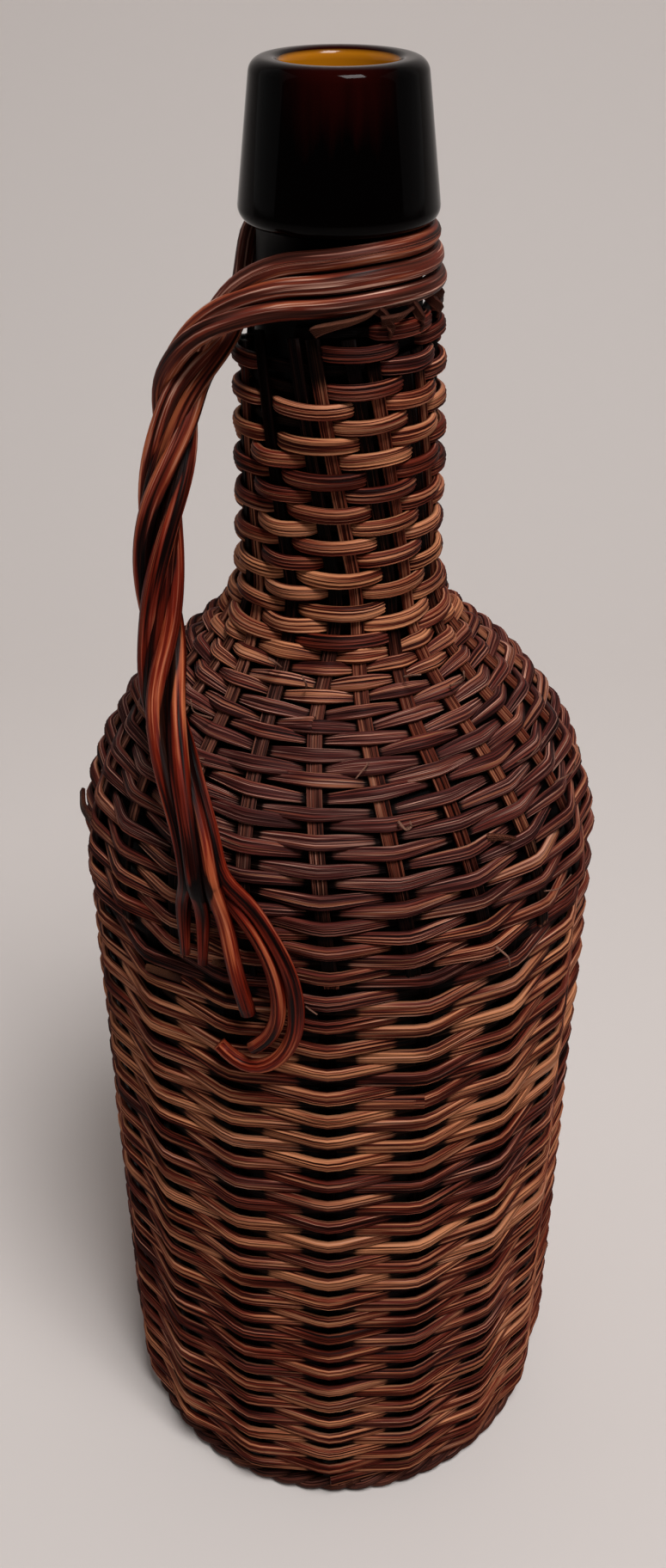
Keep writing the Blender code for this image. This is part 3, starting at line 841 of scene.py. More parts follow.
@dataclass
class WeavePlan:
    """Where the one spiral of the weave meets the stakes and strips.

    The crossings are listed from the foot up, in body, shoulder and neck.
    """

    shape: JacketShape
    row_pitch: float = 0.0030
    stake_count: int = 17
    strip_count: int = 21
    first_stake: float = math.radians(-2.5)
    first_strip: float = math.radians(-6.5)
    shoulder_lean: float = math.radians(10.0)
    neck_lean: float = math.radians(22.0)
    most_back_lean: float = 0.5
    # Share of the throat up to which the strips are crossed one by one
    single_share: float = 0.42
    pair_spread: float = math.radians(5.9)
    pair_shift: float = math.radians(7.0)
    shoulder_pitch: float = 0.00256
    # How far a cane reaches past a pair of strips, outside it and inside it
    over_wrap: float = math.radians(13.0)
    under_wrap: float = math.radians(1.5)
    # How far rows go on above the weave's top, at the front and right and elsewhere
    extra_rows: float = 0.0074
    back_rows: float = 0.0020
    extra_from: float = math.radians(-48.0)
    extra_span: float = math.radians(190.0)
    dark_patch: DarkPatch = DarkPatch()
    meet_rounds: int = 8

    def __post_init__(self) -> None:
        """List the crossings of the body, the shoulder and the neck."""
        self.body, self.shoulder, self.neck = [], [], []
        shape = self.shape
        self.groups = (self.strip_count + 1) // 2
        self.close_end = (shape.cone_finish + 2 * shape.throat_end) / 3
        self.body_turns = shape.side_end / self.row_pitch
        self.close_turns = (self.close_end - shape.side_end) / self.shoulder_pitch
        self._cross_stakes()
        self._cross_strips()

    def spiral(self, azimuth: float) -> float:
        """Where the spiral passes an azimuth.

        Args:
            azimuth: The azimuth, with a whole turn more for each row.

        Returns:
            Distance along the jacket.
        """
        turns = (azimuth - self.first_stake) / TURN
        if turns <= self.body_turns:
            return self.row_pitch * turns
        turns -= self.body_turns
        if turns <= self.close_turns:
            return self.shape.side_end + self.shoulder_pitch * turns
        return self.close_end + self.row_pitch * (turns - self.close_turns)

    def strip_azimuth(self, index: int, along: float) -> float:
        """Where a shoulder strip runs: evenly spaced low down, in pairs on the neck.

        Args:
            index: The strip's number from 0.
            along: Distance along the jacket.

        Returns:
            The strip's azimuth there.
        """
        shape = self.shape
        spacing = TURN / self.strip_count
        own = index * spacing
        group = index // 2
        place = group * TURN / self.groups + spacing / 2 + self.pair_shift
        if 2 * group + 1 < self.strip_count:
            place += self.pair_spread * (1 if index % 2 else -1)
        gather = shape.throat_end - shape.cone_finish
        blend = smooth_step((along - shape.cone_finish + gather / 2) / (gather + gather / 2))
        middle = (shape.side_end + shape.throat_end) / 2
        down = (middle - along) / (shape.throat_end - shape.side_end)
        lean = self.shoulder_lean * max(down, -self.most_back_lean)
        up_neck = (along - shape.throat_end) / (shape.weave_end - shape.throat_end)
        lean -= self.neck_lean * max(up_neck, 0.0)
        return self.first_strip + own + (place - own) * blend + lean

    def _meet(self, strip: int, turn: int, past: float = 0.0) -> tuple[float, float]:
        """Where the spiral meets a strip.

        Args:
            strip: The strip's number from 0.
            turn: Which turn of the spiral.
            past: An angle beyond the strip.

        Returns:
            Distance along the jacket and azimuth.
        """
        azimuth = turn * TURN
        along = 0.0
        for _ in range(self.meet_rounds):
            along = self.spiral(azimuth)
            azimuth = self.strip_azimuth(strip, along) + turn * TURN + past
        return along, azimuth

    def _cross_stakes(self) -> None:
        """Fill the body's crossings."""
        top = self.shape.side_end - self.row_pitch / self.stake_count
        while not self.body or self.body[-1].along < top:
            index = len(self.body)
            azimuth = self.first_stake + index * TURN / self.stake_count
            self.body.append(Crossing(self.spiral(azimuth), azimuth, index % 2 == 0,
                                      index % self.stake_count))

    def _cross_strips(self) -> None:
        """Fill the shoulder's and the neck's crossings."""
        shape = self.shape
        gather = shape.cone_finish + (shape.throat_end - shape.cone_finish) * self.single_share
        rows = self.body_turns + self.close_turns + (
            shape.weave_end + self.extra_rows - self.close_end) / self.row_pitch
        turns = range(int(self.body_turns) - 1, int(rows) + 2)
        apart = math.pi / self.strip_count
        for turn in turns:
            for strip in range(self.strip_count):
                along, azimuth = self._meet(strip, turn)
                if azimuth > self.body[-1].azimuth + apart and along < gather:
                    over = (turn * self.strip_count + strip) % 2 == 0
                    self.shoulder.append(Crossing(along, azimuth, over, strip))
        for turn in turns:
            for group in range(self.groups):
                over = (turn * self.groups + group) % 2 == 0
                left, right = 2 * group, min(2 * group + 1, self.strip_count - 1)
                along, azimuth = self._meet(left, turn, self.pair_spread)
                height = shape.point(along, LIFTS.over)[1]
                # In the dark patch the weave goes under, where it takes painted shade
                over = over and self.dark_patch.strength(azimuth, height) < 0.5
                past = self.over_wrap if over else self.under_wrap
                first, second = self._meet(left, turn, -past), self._meet(right, turn, past)
                place = (first[1] - self.extra_from) % TURN
                extra = self.extra_rows if place < self.extra_span else self.back_rows
                if first[1] > self.shoulder[-1].azimuth + apart and second[0] < (
                        shape.weave_end + extra):
                    self.neck += [Crossing(*first, over, left, group),
                                  Crossing(*second, over, right, group)]


# How light the weavers are at each height
TONE_BANDS = (
    (0.005, 0.32), (0.015, 0.50), (0.045, 0.56), (0.060, 0.50), (0.071, 0.62),
    (0.080, 0.74), (0.090, 0.66), (0.096, 0.30), (0.107, 0.30), (0.113, 0.68),
    (0.122, 0.74), (0.130, 0.64), (0.136, 0.52), (0.143, 0.52), (0.150, 0.45),
    (0.165, 0.38), (0.174, 0.34), (0.180, 0.22), (0.200, 0.22), (0.206, 0.42), (0.212, 0.68),
    (0.222, 0.76), (0.2325, 0.74), (0.2355, 0.44), (0.2385, 0.25), (0.2440, 0.25),
    (0.2462, 0.62), (0.2512, 0.62), (0.2532, 0.44), (0.2560, 0.38), (0.2580, 0.22),
    (0.262, 0.08), (0.270, 0.02),
)
# How uneven they are at each distance along the jacket
ROUGH_BANDS = ((0.150, 1.0), (0.166, 2.2), (0.205, 2.2), (0.216, 1.0))
# How much the strips show at each height, where less showing paints shade on them, and how thick
# and how faded the canes are
STRIP_SHOWN = ((0.168, 0.28), (0.178, 0.45), (0.186, 0.80), (0.215, 0.80), (0.226, 0.78),
               (0.2560, 0.80), (0.2610, 0.20))
GIRTH_BANDS = ((0.155, 1.0), (0.172, 0.89), (0.210, 0.87), (0.228, 0.88))
FADE_BANDS = (
    (0.0, 0.20), (0.150, 0.25), (0.172, 0.60), (0.180, 1.00), (0.202, 1.00), (0.212, 0.25),
    (0.240, 0.05), (0.262, 0.20),
)


@dataclass(frozen=True)
class Stretch:
    """A stretch of one row, from start to end in degrees, lighter than its neighbours."""

    height: float
    start: float
    end: float
    tone: float
    reach: float = 0.0017
    soft_end: float = 5.0
    soft_edge: float = 0.0006

    def gain(self, azimuth: float, height: float) -> float:
        """How much lighter the weave is at a place.

        Args:
            azimuth: The place's azimuth.
            height: The place's height.

        Returns:
            What to add to the tone there.
        """
        middle, half = (self.start + self.end) / 2, (self.end - self.start) / 2
        away = (math.degrees(azimuth) - middle + 180.0) % 360.0 - 180.0
        along = smooth_step((half - abs(away)) / self.soft_end)
        across = smooth_step((self.reach - abs(height - self.height)) / self.soft_edge)
        return self.tone * along * across


PALE_STRETCHES = (
    Stretch(0.1430, -12.0, 18.5, 0.44), Stretch(0.1442, 20.5, 48.0, 0.38),
    Stretch(0.1500, -2.0, 30.0, 0.14), Stretch(0.1205, -30.0, 8.0, 0.15),
    Stretch(0.0870, 10.0, 44.0, 0.12),
)
WEAVER_SLOTS = (Slot.LIGHT, Slot.DARK, Slot.MIDDLE)


@dataclass(frozen=True)
class Strand:
    """What sets one strand of the weave apart: its tone, girth and place in the noise."""

    tone: float
    girth: float
    track: float


@dataclass
class Weavers:
    """The long half-round canes wound outside one upright and inside the next."""

    plan: WeavePlan
    body_canes: int = 5
    section: CaneSection = CaneSection(0.00294, 0.00148, HALF_ROUND_SHARES,
                                       HALF_ROUND_GROOVES)
    # Crossings in a strand, and the fewest that may be left over for the next one
    strand_length: tuple[int, int] = (22, 46)
    least_rest: int = 10
    # Spread and upper limit of the strands' tones, on the body and above it
    body_tone: tuple[float, float] = (0.09, 0.14)
    upper_tone: tuple[float, float] = (0.16, 0.07)
    girth_range: tuple[float, float] = (0.93, 1.07)
    # Stations between two crossings that are far apart or close together
    steps: int = 7
    close_steps: int = 4
    wide_span: float = 0.20
    longest_span: float = math.radians(70.0)
    relax_rounds: int = 1
    neck_relax_rounds: int = 3
    ease: float = 0.20
    wander_rise: float = 0.00022
    wander_girth: float = 0.05
    wander_tone: float = 0.055
    wander_fade: float = 0.25
    wander_roll: float = 0.10
    # How fast each of these wanders round the jacket
    rise_pace: float = 1.6
    girth_pace: float = 2.1
    tone_pace: float = 1.2
    fade_pace: float = 1.1
    roll_pace: float = 2.0
    neck_dip: float = 0.0009
    neck_bow: float = 0.0012
    # How far a cane is hidden at its dips, where its colour takes painted shade, and its taper
    # there above the body
    hides: float = 0.16
    hides_less: float = 0.08
    shows_over: float = 0.30
    close_run: float = 0.010
    taper: float = 0.36
    taper_gain: float = 0.06
    taper_from: float = 0.85

    def build(self) -> None:
        """Make one piece for each weaver node."""
        plan, shape = self.plan, self.plan.shape
        weave = [*plan.body, *plan.shoulder, *plan.neck]
        gather = (shape.shoulder_end + shape.cone_finish) / 2
        limits = [shape.side_end * cane / self.body_canes for cane in
                  range(1, self.body_canes + 1)] + [(shape.side_end + gather) / 2, gather]
        joins = [0] + [next(place for place, crossing in enumerate(weave)
                            if crossing.along >= limit) for limit in limits] + [len(weave)]
        for number, (start, end) in enumerate(zip(joins, joins[1:]), start=1):
            part = weave[max(start - 1, 0):end + 1]
            name = f"wound_canes_{number:02d}"
            mesh = cane_mesh(name, self._strands(part, number), self.section, Twist.UPRIGHT)
            place_piece(name, mesh, BODY_CANE, WEAVER_SLOTS[(number - 1) % len(WEAVER_SLOTS)],
                        f"weaver_{number:02d}")

    def _strands(self, part: Sequence[Crossing], number: int) -> list[list[Station]]:
        """Cut a stretch of the weave into strands that end behind an upright.

        Args:
            part: The crossings of the stretch.
            number: The piece's number, which seeds the strands.

        Returns:
            The stations of each strand.
        """
        seed = random.Random(100 + number)
        strands, start = [], 0
        breaks = [place for place, (first, second) in enumerate(zip(part, part[1:]))
                  if second.azimuth - first.azimuth > self.longest_span] + [len(part) - 1]
        while start < len(part) - 1:
            stop = next(place for place in breaks if place > start)
            end = min(start + seed.randint(*self.strand_length), stop)
            if stop - end < self.least_rest:
                end = stop
            while end < stop and part[end].over:
                end += 1
            on_body = part[start].along < self.plan.shape.side_end
            spread, most = self.body_tone if on_body else self.upper_tone
            tone = min(seed.gauss(0.0, spread), most)
            girth = seed.uniform(*self.girth_range)
            strands.append(self._strand(part[start:end + 1],
                                        Strand(tone, girth, seed.random() * 50)))
            start = end + (end == stop)
        return strands

    def _strand(self, crossings: Sequence[Crossing], strand: Strand) -> list[Station]:
        """Lay one strand through its crossings.

        Args:
            crossings: The crossings, from one end to the other.
            strand: The strand's own looks.

        Returns:
            The strand's stations, with their kinks smoothed out.
        """
        stations = []
        last = len(crossings) - 2
        for index, (first, second) in enumerate(zip(crossings, crossings[1:])):
            wide = second.azimuth - first.azimuth > self.wide_span
            steps = self.steps if wide else self.close_steps
            for step in range(steps + (index == last)):
                stations.append(self._station(first, second, step / steps, strand))
        on_neck = crossings[0].along > self.plan.shape.cone_finish
        places = relaxed([station.place for station in stations],
                         self.neck_relax_rounds if on_neck else self.relax_rounds)
        for station, place in zip(stations, places):
            station.place = place
        return stations

    def _place(self, first: Crossing, second: Crossing, share: float,
               rise: float) -> tuple[Vector, float]:
        """A place on the way between two crossings.

        Args:
            first: The crossing before it.
            second: The crossing after it.
            share: Its share of the way between them.
            rise: How far the strand strays up the jacket.

        Returns:
            The place, on a nearly straight line low down and on a bow round the neck, and
            the slope of the jacket there.
        """
        shape = self.plan.shape
        ends, slopes = [], []
        for crossing in (first, second):
            lift = LIFTS.over if crossing.over else LIFTS.under
            lift -= self.neck_dip if crossing.over and crossing.group >= 0 else 0.0
            radius, height, slope = shape.point(max(crossing.along + rise, 0.0), lift)
            ends.append((crossing.azimuth, radius, height))
            slopes.append(slope)
        eased = smooth_step(share) * self.ease + share * (1.0 - self.ease)
        if first.group >= 0 and second.group >= 0:
            azimuth = first.azimuth + (second.azimuth - first.azimuth) * share
            radius = ends[0][1] + (ends[1][1] - ends[0][1]) * eased
            height = ends[0][2] + (ends[1][2] - ends[0][2]) * eased
            if first.group == second.group and first.over:
                radius += self.neck_bow * math.sin(math.pi * share)
            place = polar(azimuth, radius, height)
        else:
            place = polar(*ends[0]).lerp(polar(*ends[1]), eased)
        return place, slopes[0] + (slopes[1] - slopes[0]) * share

    def _station(self, first: Crossing, second: Crossing, share: float,
                 strand: Strand) -> Station:
        """One station between two crossings.

        Args:
            first: The crossing before it.
            second: The crossing after it.
            share: Its share of the way between them.
            strand: The strand's own looks.

        Returns:
            The station, thinner and hidden where the cane dips behind an upright.
        """
        track = strand.track
        azimuth = first.azimuth + (second.azimuth - first.azimuth) * share
        rough = along_table(ROUGH_BANDS, first.along)
        rise = self.wander_rise * rough * wander(azimuth * self.rise_pace, track)
        place, slope = self._place(first, second, share, rise)
        light = along_table(TONE_BANDS, place.z) + strand.tone
        light += (self.wander_tone * (1.0 + rough)
                  * wander(azimuth * self.tone_pace, track, 2.0))
        light += sum(stretch.gain(azimuth, place.z) for stretch in PALE_STRETCHES)
        fade = (along_table(FADE_BANDS, place.z)
                + self.wander_fade * wander(azimuth * self.fade_pace, track, 4.0))
        raised = (1.0 - share if first.over else 0.0) + (share if second.over else 0.0)
        closing = grown(first.along, self.plan.shape.side_end, self.close_run)
        swell = strand.girth * (1.0 + self.wander_girth * rough
                                * wander(azimuth * self.girth_pace, track, 3.0))
        swell *= along_table(GIRTH_BANDS, place.z)
        swell *= 1.0 + closing * (self.taper_gain - self.taper
                                  * (1.0 - smooth_step(raised / self.taper_from)))
        roll = self.wander_roll * wander(azimuth * self.roll_pace, track, 1.0)
        hides = self.hides - self.hides_less * closing
        # A cane that dips under an upright gets a low depth, which paints shade on it
        return Station(place, roll - slope, swell, light, min(1.0, max(0.0, fade)),
                       grown(raised, hides, self.shows_over))


@dataclass
class Uprights:
    """The stakes of the body and the flat strips of the shoulder and neck."""

    plan: WeavePlan
    stake_section: CaneSection = CaneSection(0.0034, 0.00110, FLAT_SHARES, FLAT_GROOVES)
    strip_section: CaneSection = CaneSection(0.0028, 0.00095, FLAT_SHARES, FLAT_GROOVES)
    stake_foot: float = 0.0055
    stake_steps: int = 30
    # Tone of the stakes and the strips, its spread and how fast it wanders
    stake_tone: Triple = (0.45, 0.15, 0.32)
    strip_tone: Triple = (0.50, 0.22, 12.0)
    # How much of a stake shows; the rest of its colour is painted shade
    stake_shown: float = 0.40
    strip_reach: float = 0.0060
    strip_tuck: float = 0.001
    # How far the strips' dark patch is turned from the weave's, and how much of the strips'
    # showing it takes away as painted shade
    clear_of_dark_patch: float = math.radians(8.0)
    dark_patch_share: float = 0.85
    neck_share: float = 0.86
    # What the neck changes in the tone of a pair's left and right strips, and how much less the
    # left strip shows, which paints shade on it
    left_tone: float = -0.24
    right_tone: float = 0.02
    left_hidden: float = 0.50
    step: float = 0.0035

    def build(self) -> None:
        """Make a piece for each stake and strip node."""
        for index in range(self.plan.stake_count):
            name = f"ribbed_stake_{index + 1:02d}"
            mesh = cane_mesh(name, [self._stake(index)], self.stake_section, Twist.LEAST)
            self._turn(mesh, self.plan.first_stake + index * TURN / self.plan.stake_count)
            place_piece(name, mesh, STAKE_CANE, Slot.STAKE, f"stake_{index + 1:02d}")
        for index in range(self.plan.strip_count):
            name = f"split_strip_{index + 1:02d}"
            stations, start = self._strip(index)
            mesh = cane_mesh(name, [stations], self.strip_section, Twist.LEAST)
            self._turn(mesh, start)
            place_piece(name, mesh, STRIP_CANE, Slot.STRIP,
                        f"shoulder_strip_{index + 1:02d}")

    @staticmethod
    def _turn(mesh: bpy.types.Mesh, azimuth: float) -> None:
        """Turn a mesh made at azimuth 0 to its own azimuth."""
        mesh.transform(Matrix.Rotation(azimuth, 4, "Z"))

    def _stake(self, index: int) -> list[Station]:
        """Lay a stake up the straight side, at azimuth 0.

        Args:
            index: The stake's number from 0.

        Returns:
            Its stations, from the foot up.
        """
        tops = {cross.upright: cross.along for cross in self.plan.body}
        shape = self.plan.shape
        top = shape.weave_foot + tops[index] + self.plan.row_pitch / 2
        tone, spread, pace = self.stake_tone
        stations = []
        for part in range(self.stake_steps + 1):
            height = self.stake_foot + (top - self.stake_foot) * part / self.stake_steps
            radius = shape.point(max(0.0, height - shape.weave_foot), LIFTS.upright)[0]
            # The stake's low depth paints shade on it
            stations.append(Station(polar(0.0, radius, height), FACE_OUT,
                                    tone=tone + spread * wander(part * pace, index),
                                    fade=0.1, depth=self.stake_shown))
        return stations

    def _strip(self, index: int) -> tuple[list[Station], float]:
        """Lay a strip up the shoulder and the neck, with its foot at azimuth 0.

        Args:
            index: The strip's number from 0.

        Returns:
            Its stations from the foot up, and the azimuth to turn its foot to.
        """
        plan, shape = self.plan, self.plan.shape
        feet = {cross.upright: cross.along for cross in reversed(plan.shoulder)}
        foot = feet[index] - plan.row_pitch / 2
        start = plan.strip_azimuth(index, foot)
        top = shape.weave_end + plan.back_rows + self.strip_reach * (
            0.5 + 0.5 * wander(index, 0.5))
        radius = shape.body_radius + LIFTS.upright
        stations = [Station(polar(0.0, radius, shape.weave_foot + foot - self.strip_tuck),
                            FACE_OUT, fade=0.4, depth=0.9)]
        middle_tone, spread, pace = self.strip_tone
        along, last, tilt = foot, start, FACE_OUT
        while along < top:
            azimuth = plan.strip_azimuth(index, along)
            radius, height, slope = shape.point(along, LIFTS.upright)
            tilt += (azimuth - last) * math.cos(slope)
            narrow = smooth_step((along - shape.shoulder_end)
                                 / (shape.throat_end - shape.shoulder_end))
            in_dark_patch = plan.dark_patch.strength(azimuth + self.clear_of_dark_patch, height)
            # Where a strip shows less, its colour takes painted shade
            shown = along_table(STRIP_SHOWN, height) * (1.0 - self.dark_patch_share * in_dark_patch)
            tone = middle_tone + spread * wander(along * pace, index, 7.0)
            if index % 2:
                tone += self.right_tone * narrow
            else:
                tone += self.left_tone * narrow
                shown *= 1.0 - self.left_hidden * narrow
            fade = along_table(FADE_BANDS, height) * smooth_step(0.5 - math.sin(azimuth))
            stations.append(Station(polar(azimuth - start, radius, height), tilt,
                                    1.0 - (1.0 - self.neck_share) * narrow, tone, fade,
                                    shown))
            last = azimuth
            along += self.step
        return stations, start


@dataclass(frozen=True)
class Scrap:
    """A torn end or loose fibre: its places as (azimuth in degrees, height, lift)."""

    places: tuple[tuple[float, float, float], ...]
    width: float
    tone: float = 0.5
    fade: float = 0.5
    roll: float = 0.0


# Torn strip ends pushed up under the loops
TORN_ENDS = (
    Scrap(((-13, .2674, .0028), (-9, .2683, .0038), (-3, .2690, .0042), (6, .2696, .0040),
           (14, .2702, .0036), (20, .2708, .0028)), .0019, 0.55, 0.7, 0.5),
    Scrap(((21, .2710, .0022), (25, .2700, .0034), (27, .2682, .0038), (28, .2664, .0030)),
          .0021, 0.22, 0.5, 0.3),
    Scrap(((22, .2692, .0036), (31, .2698, .0044), (40, .2704, .0038)), .0019, 0.36, 0.7, 0.5),
    Scrap(((44, .2714, .0022), (46, .2697, .0036), (47, .2678, .0038), (46, .2658, .0030)),
          .0021, 0.24, 0.5, 0.3),
    Scrap(((63, .2712, .0018), (65, .2696, .0030), (69, .2682, .0034), (72, .2668, .0026)),
          .0020, 0.24, 0.4, 0.3),
    Scrap(((84, .2706, .0014), (87, .2696, .0024), (91, .2686, .0028), (97, .2678, .0024)),
          .0018, 0.20, 0.4, 0.4),
)
# Splinters and stray fibres of the weave
LOOSE_FIBRES = (
    Scrap(((13.8, .1903, .0042), (14.8, .1898, .0056), (15.8, .1906, .0064)), .0006, .8),
    Scrap(((15.4, .1892, .0042), (15.9, .1904, .0060), (15.5, .1917, .0070)), .0005, .9),
    Scrap(((50.5, .1925, .0042), (50.0, .1955, .0085), (52.5, .1992, .0120)), .0003, .8),
    Scrap(((47.0, .1700, .0042), (48.0, .1715, .0070), (49.5, .1745, .0090)), .0003, .9),
    Scrap(((-6.5, .1570, .0042), (-5.5, .1582, .0062), (-4.0, .1578, .0070)), .0004, .9),
    Scrap(((-12.5, .2080, .0044), (-11.5, .2098, .0072), (-12.5, .2118, .0092)), .0005, .7),
    Scrap(((26.0, .2085, .0044), (27.0, .2100, .0072), (28.5, .2106, .0086)), .0005, .8),
    Scrap(((43.0, .2055, .0044), (44.0, .2075, .0076), (43.5, .2095, .0092)), .0005, .8),
    Scrap(((-28.5, .2105, .0044), (-27.0, .2125, .0078), (-24.5, .2120, .0074),
           (-24.0, .2100, .0046)), .0006, .6),
    Scrap(((-42.0, .2010, .0044), (-44.5, .2030, .0078), (-45.0, .2055, .0098)), .0004, .8),
    Scrap(((-38.0, .1960, .0044), (-40.0, .1975, .0080), (-43.0, .1985, .0098)), .0004, .8),
    Scrap(((33.0, .1640, .0042), (34.5, .1622, .0060), (35.0, .1600, .0060)), .0005, .9),
    Scrap(((60.0, .1860, .0044), (61.5, .1885, .0080), (61.0, .1915, .0100)), .0004, .7),
    Scrap(((-20.0, .1790, .0044), (-21.5, .1775, .0068), (-23.0, .1780, .0076)), .0004, .8),
    Scrap(((8.0, .1985, .0044), (6.0, .1992, .0070), (4.0, .1986, .0078)), .0004, .7),
)
# Cut ends of canes that stand off the weave
CUT_ENDS = (
    Scrap(((-68.0, .1712, .0024), (-73.0, .1716, .0036), (-78.0, .1722, .0048),
           (-82.5, .1734, .0050)), .0024, .45, .6),
    Scrap(((-36.0, .1535, .0020), (-40.0, .1538, .0032), (-43.5, .1545, .0046)), .0020, .6, .3),
    Scrap(((-20.0, .1628, .0020), (-23.0, .1630, .0034), (-25.5, .1636, .0046)), .0018, .6, .3),
    Scrap(((36.0, .1832, .0020), (39.0, .1830, .0032), (41.5, .1824, .0042)), .0017, .4, .7),
)


@dataclass
class Scraps:
    """The torn, frayed and cut ends that stand off the weave."""

    shape: JacketShape
    torn_section: CaneSection = CaneSection(1.0, 0.42, FLAT_SHARES, FLAT_GROOVES)
    fibre_section: CaneSection = CaneSection(1.0, 0.5, lobed_shares(6, 2, 0.1))
    cut_section: CaneSection = CaneSection(1.0, 0.55, HALF_ROUND_SHARES, HALF_ROUND_GROOVES)
    step: float = 0.0006
    curl: float = 0.4
    taper: float = 0.35
    tone_spread: float = 0.15
    tone_pace: float = 0.2
    # Spreads the scraps' widths over the noise, so that each has tones of its own
    tone_track: float = 900.0

    def build(self) -> None:
        """Make one piece of each kind."""
        for name, scraps, section, finish, slot in (
                ("torn_strip_ends", TORN_ENDS, self.torn_section, STRIP_CANE, Slot.STRIP),
                ("loose_fibres", LOOSE_FIBRES, self.fibre_section, FIBRE_CANE, Slot.LIGHT),
                ("cut_cane_ends", CUT_ENDS, self.cut_section, BODY_CANE, Slot.MIDDLE)):
            runs = [self._run(scrap) for scrap in scraps]
            place_piece(name, cane_mesh(name, runs, section, Twist.UPRIGHT), finish, slot)

    def _run(self, scrap: Scrap) -> list[Station]:
        """Lay one scrap.

        Args:
            scrap: The scrap.

        Returns:
            Its stations, tapering to its end.
        """
        route = []
        for degrees, height, lift in scrap.places:
            _, radius, _ = self.shape.at_height(height, lift)
            route.append(polar(math.radians(degrees), radius, height))
        points = smooth_path(route, self.step)
        last = len(points) - 1
        return [Station(place, scrap.roll + self.curl * index / last,
                        scrap.width * (1.0 - self.taper * index / last),
                        scrap.tone + self.tone_spread * wander(
                            index * self.tone_pace, scrap.width * self.tone_track),
                        scrap.fade)
                for index, place in enumerate(points)]


# How thick the handle's canes are at each height, as shares of the cane's width
HANDLE_GIRTH = ((0.176, 0.93), (0.184, 1.02), (0.197, 1.16), (0.254, 1.16), (0.268, 1.10))


@dataclass(frozen=True)
class HandleCane:
    """One handle cane: its name, CAD node, level in the loops and two legs.

    A leg is its place in the rope's ring of six and the name of its tail.
    """

    name: str
    node: str
    level: int
    front: tuple[int, str]
    back: tuple[int, str]


HANDLE_CANES = (
    HandleCane("blunt_ended_cane", "handle_cane_top", -1, (2, "short_left"),
               (3, "short_right")),
    HandleCane("cut_ended_cane", "handle_cane_mid", 0, (1, "hidden_end"), (4, "cut_end")),
    HandleCane("turned_back_cane", "handle_cane_low", 1, (0, "inner_turn"),
               (5, "outer_turn")),
)
# Each tail's azimuths in degrees and heights as shares of the shoulder's start
TAILS = {
    "short_left": ((-32.2, 1.098), (-31.4, 1.062), (-30.8, 1.025)),
    "short_right": ((-27.3, 1.088), (-26.9, 1.055), (-26.9, 1.020)),
    "cut_end": ((-22.6, 1.085), (-20.3, 1.030), (-17.6, 0.965)),
    "outer_turn": ((-18.5, 1.112), (-14.2, 1.084), (-10.8, 1.054), (-8.8, 1.022),
                   (-8.0, 0.984), (-8.2, 0.950), (-10.0, 0.917), (-13.2, 0.892),
                   (-17.2, 0.879), (-21.2, 0.886), (-24.2, 0.905)),
    "inner_turn": ((-20.5, 1.100), (-16.5, 1.078), (-13.6, 1.050), (-11.9, 1.020),
                   (-11.3, 0.980), (-12.2, 0.948), (-14.2, 0.926), (-17.0, 0.914)),
    "hidden_end": (),
}
BLUNT_TAILS = ("short_left", "short_right", "hidden_end")


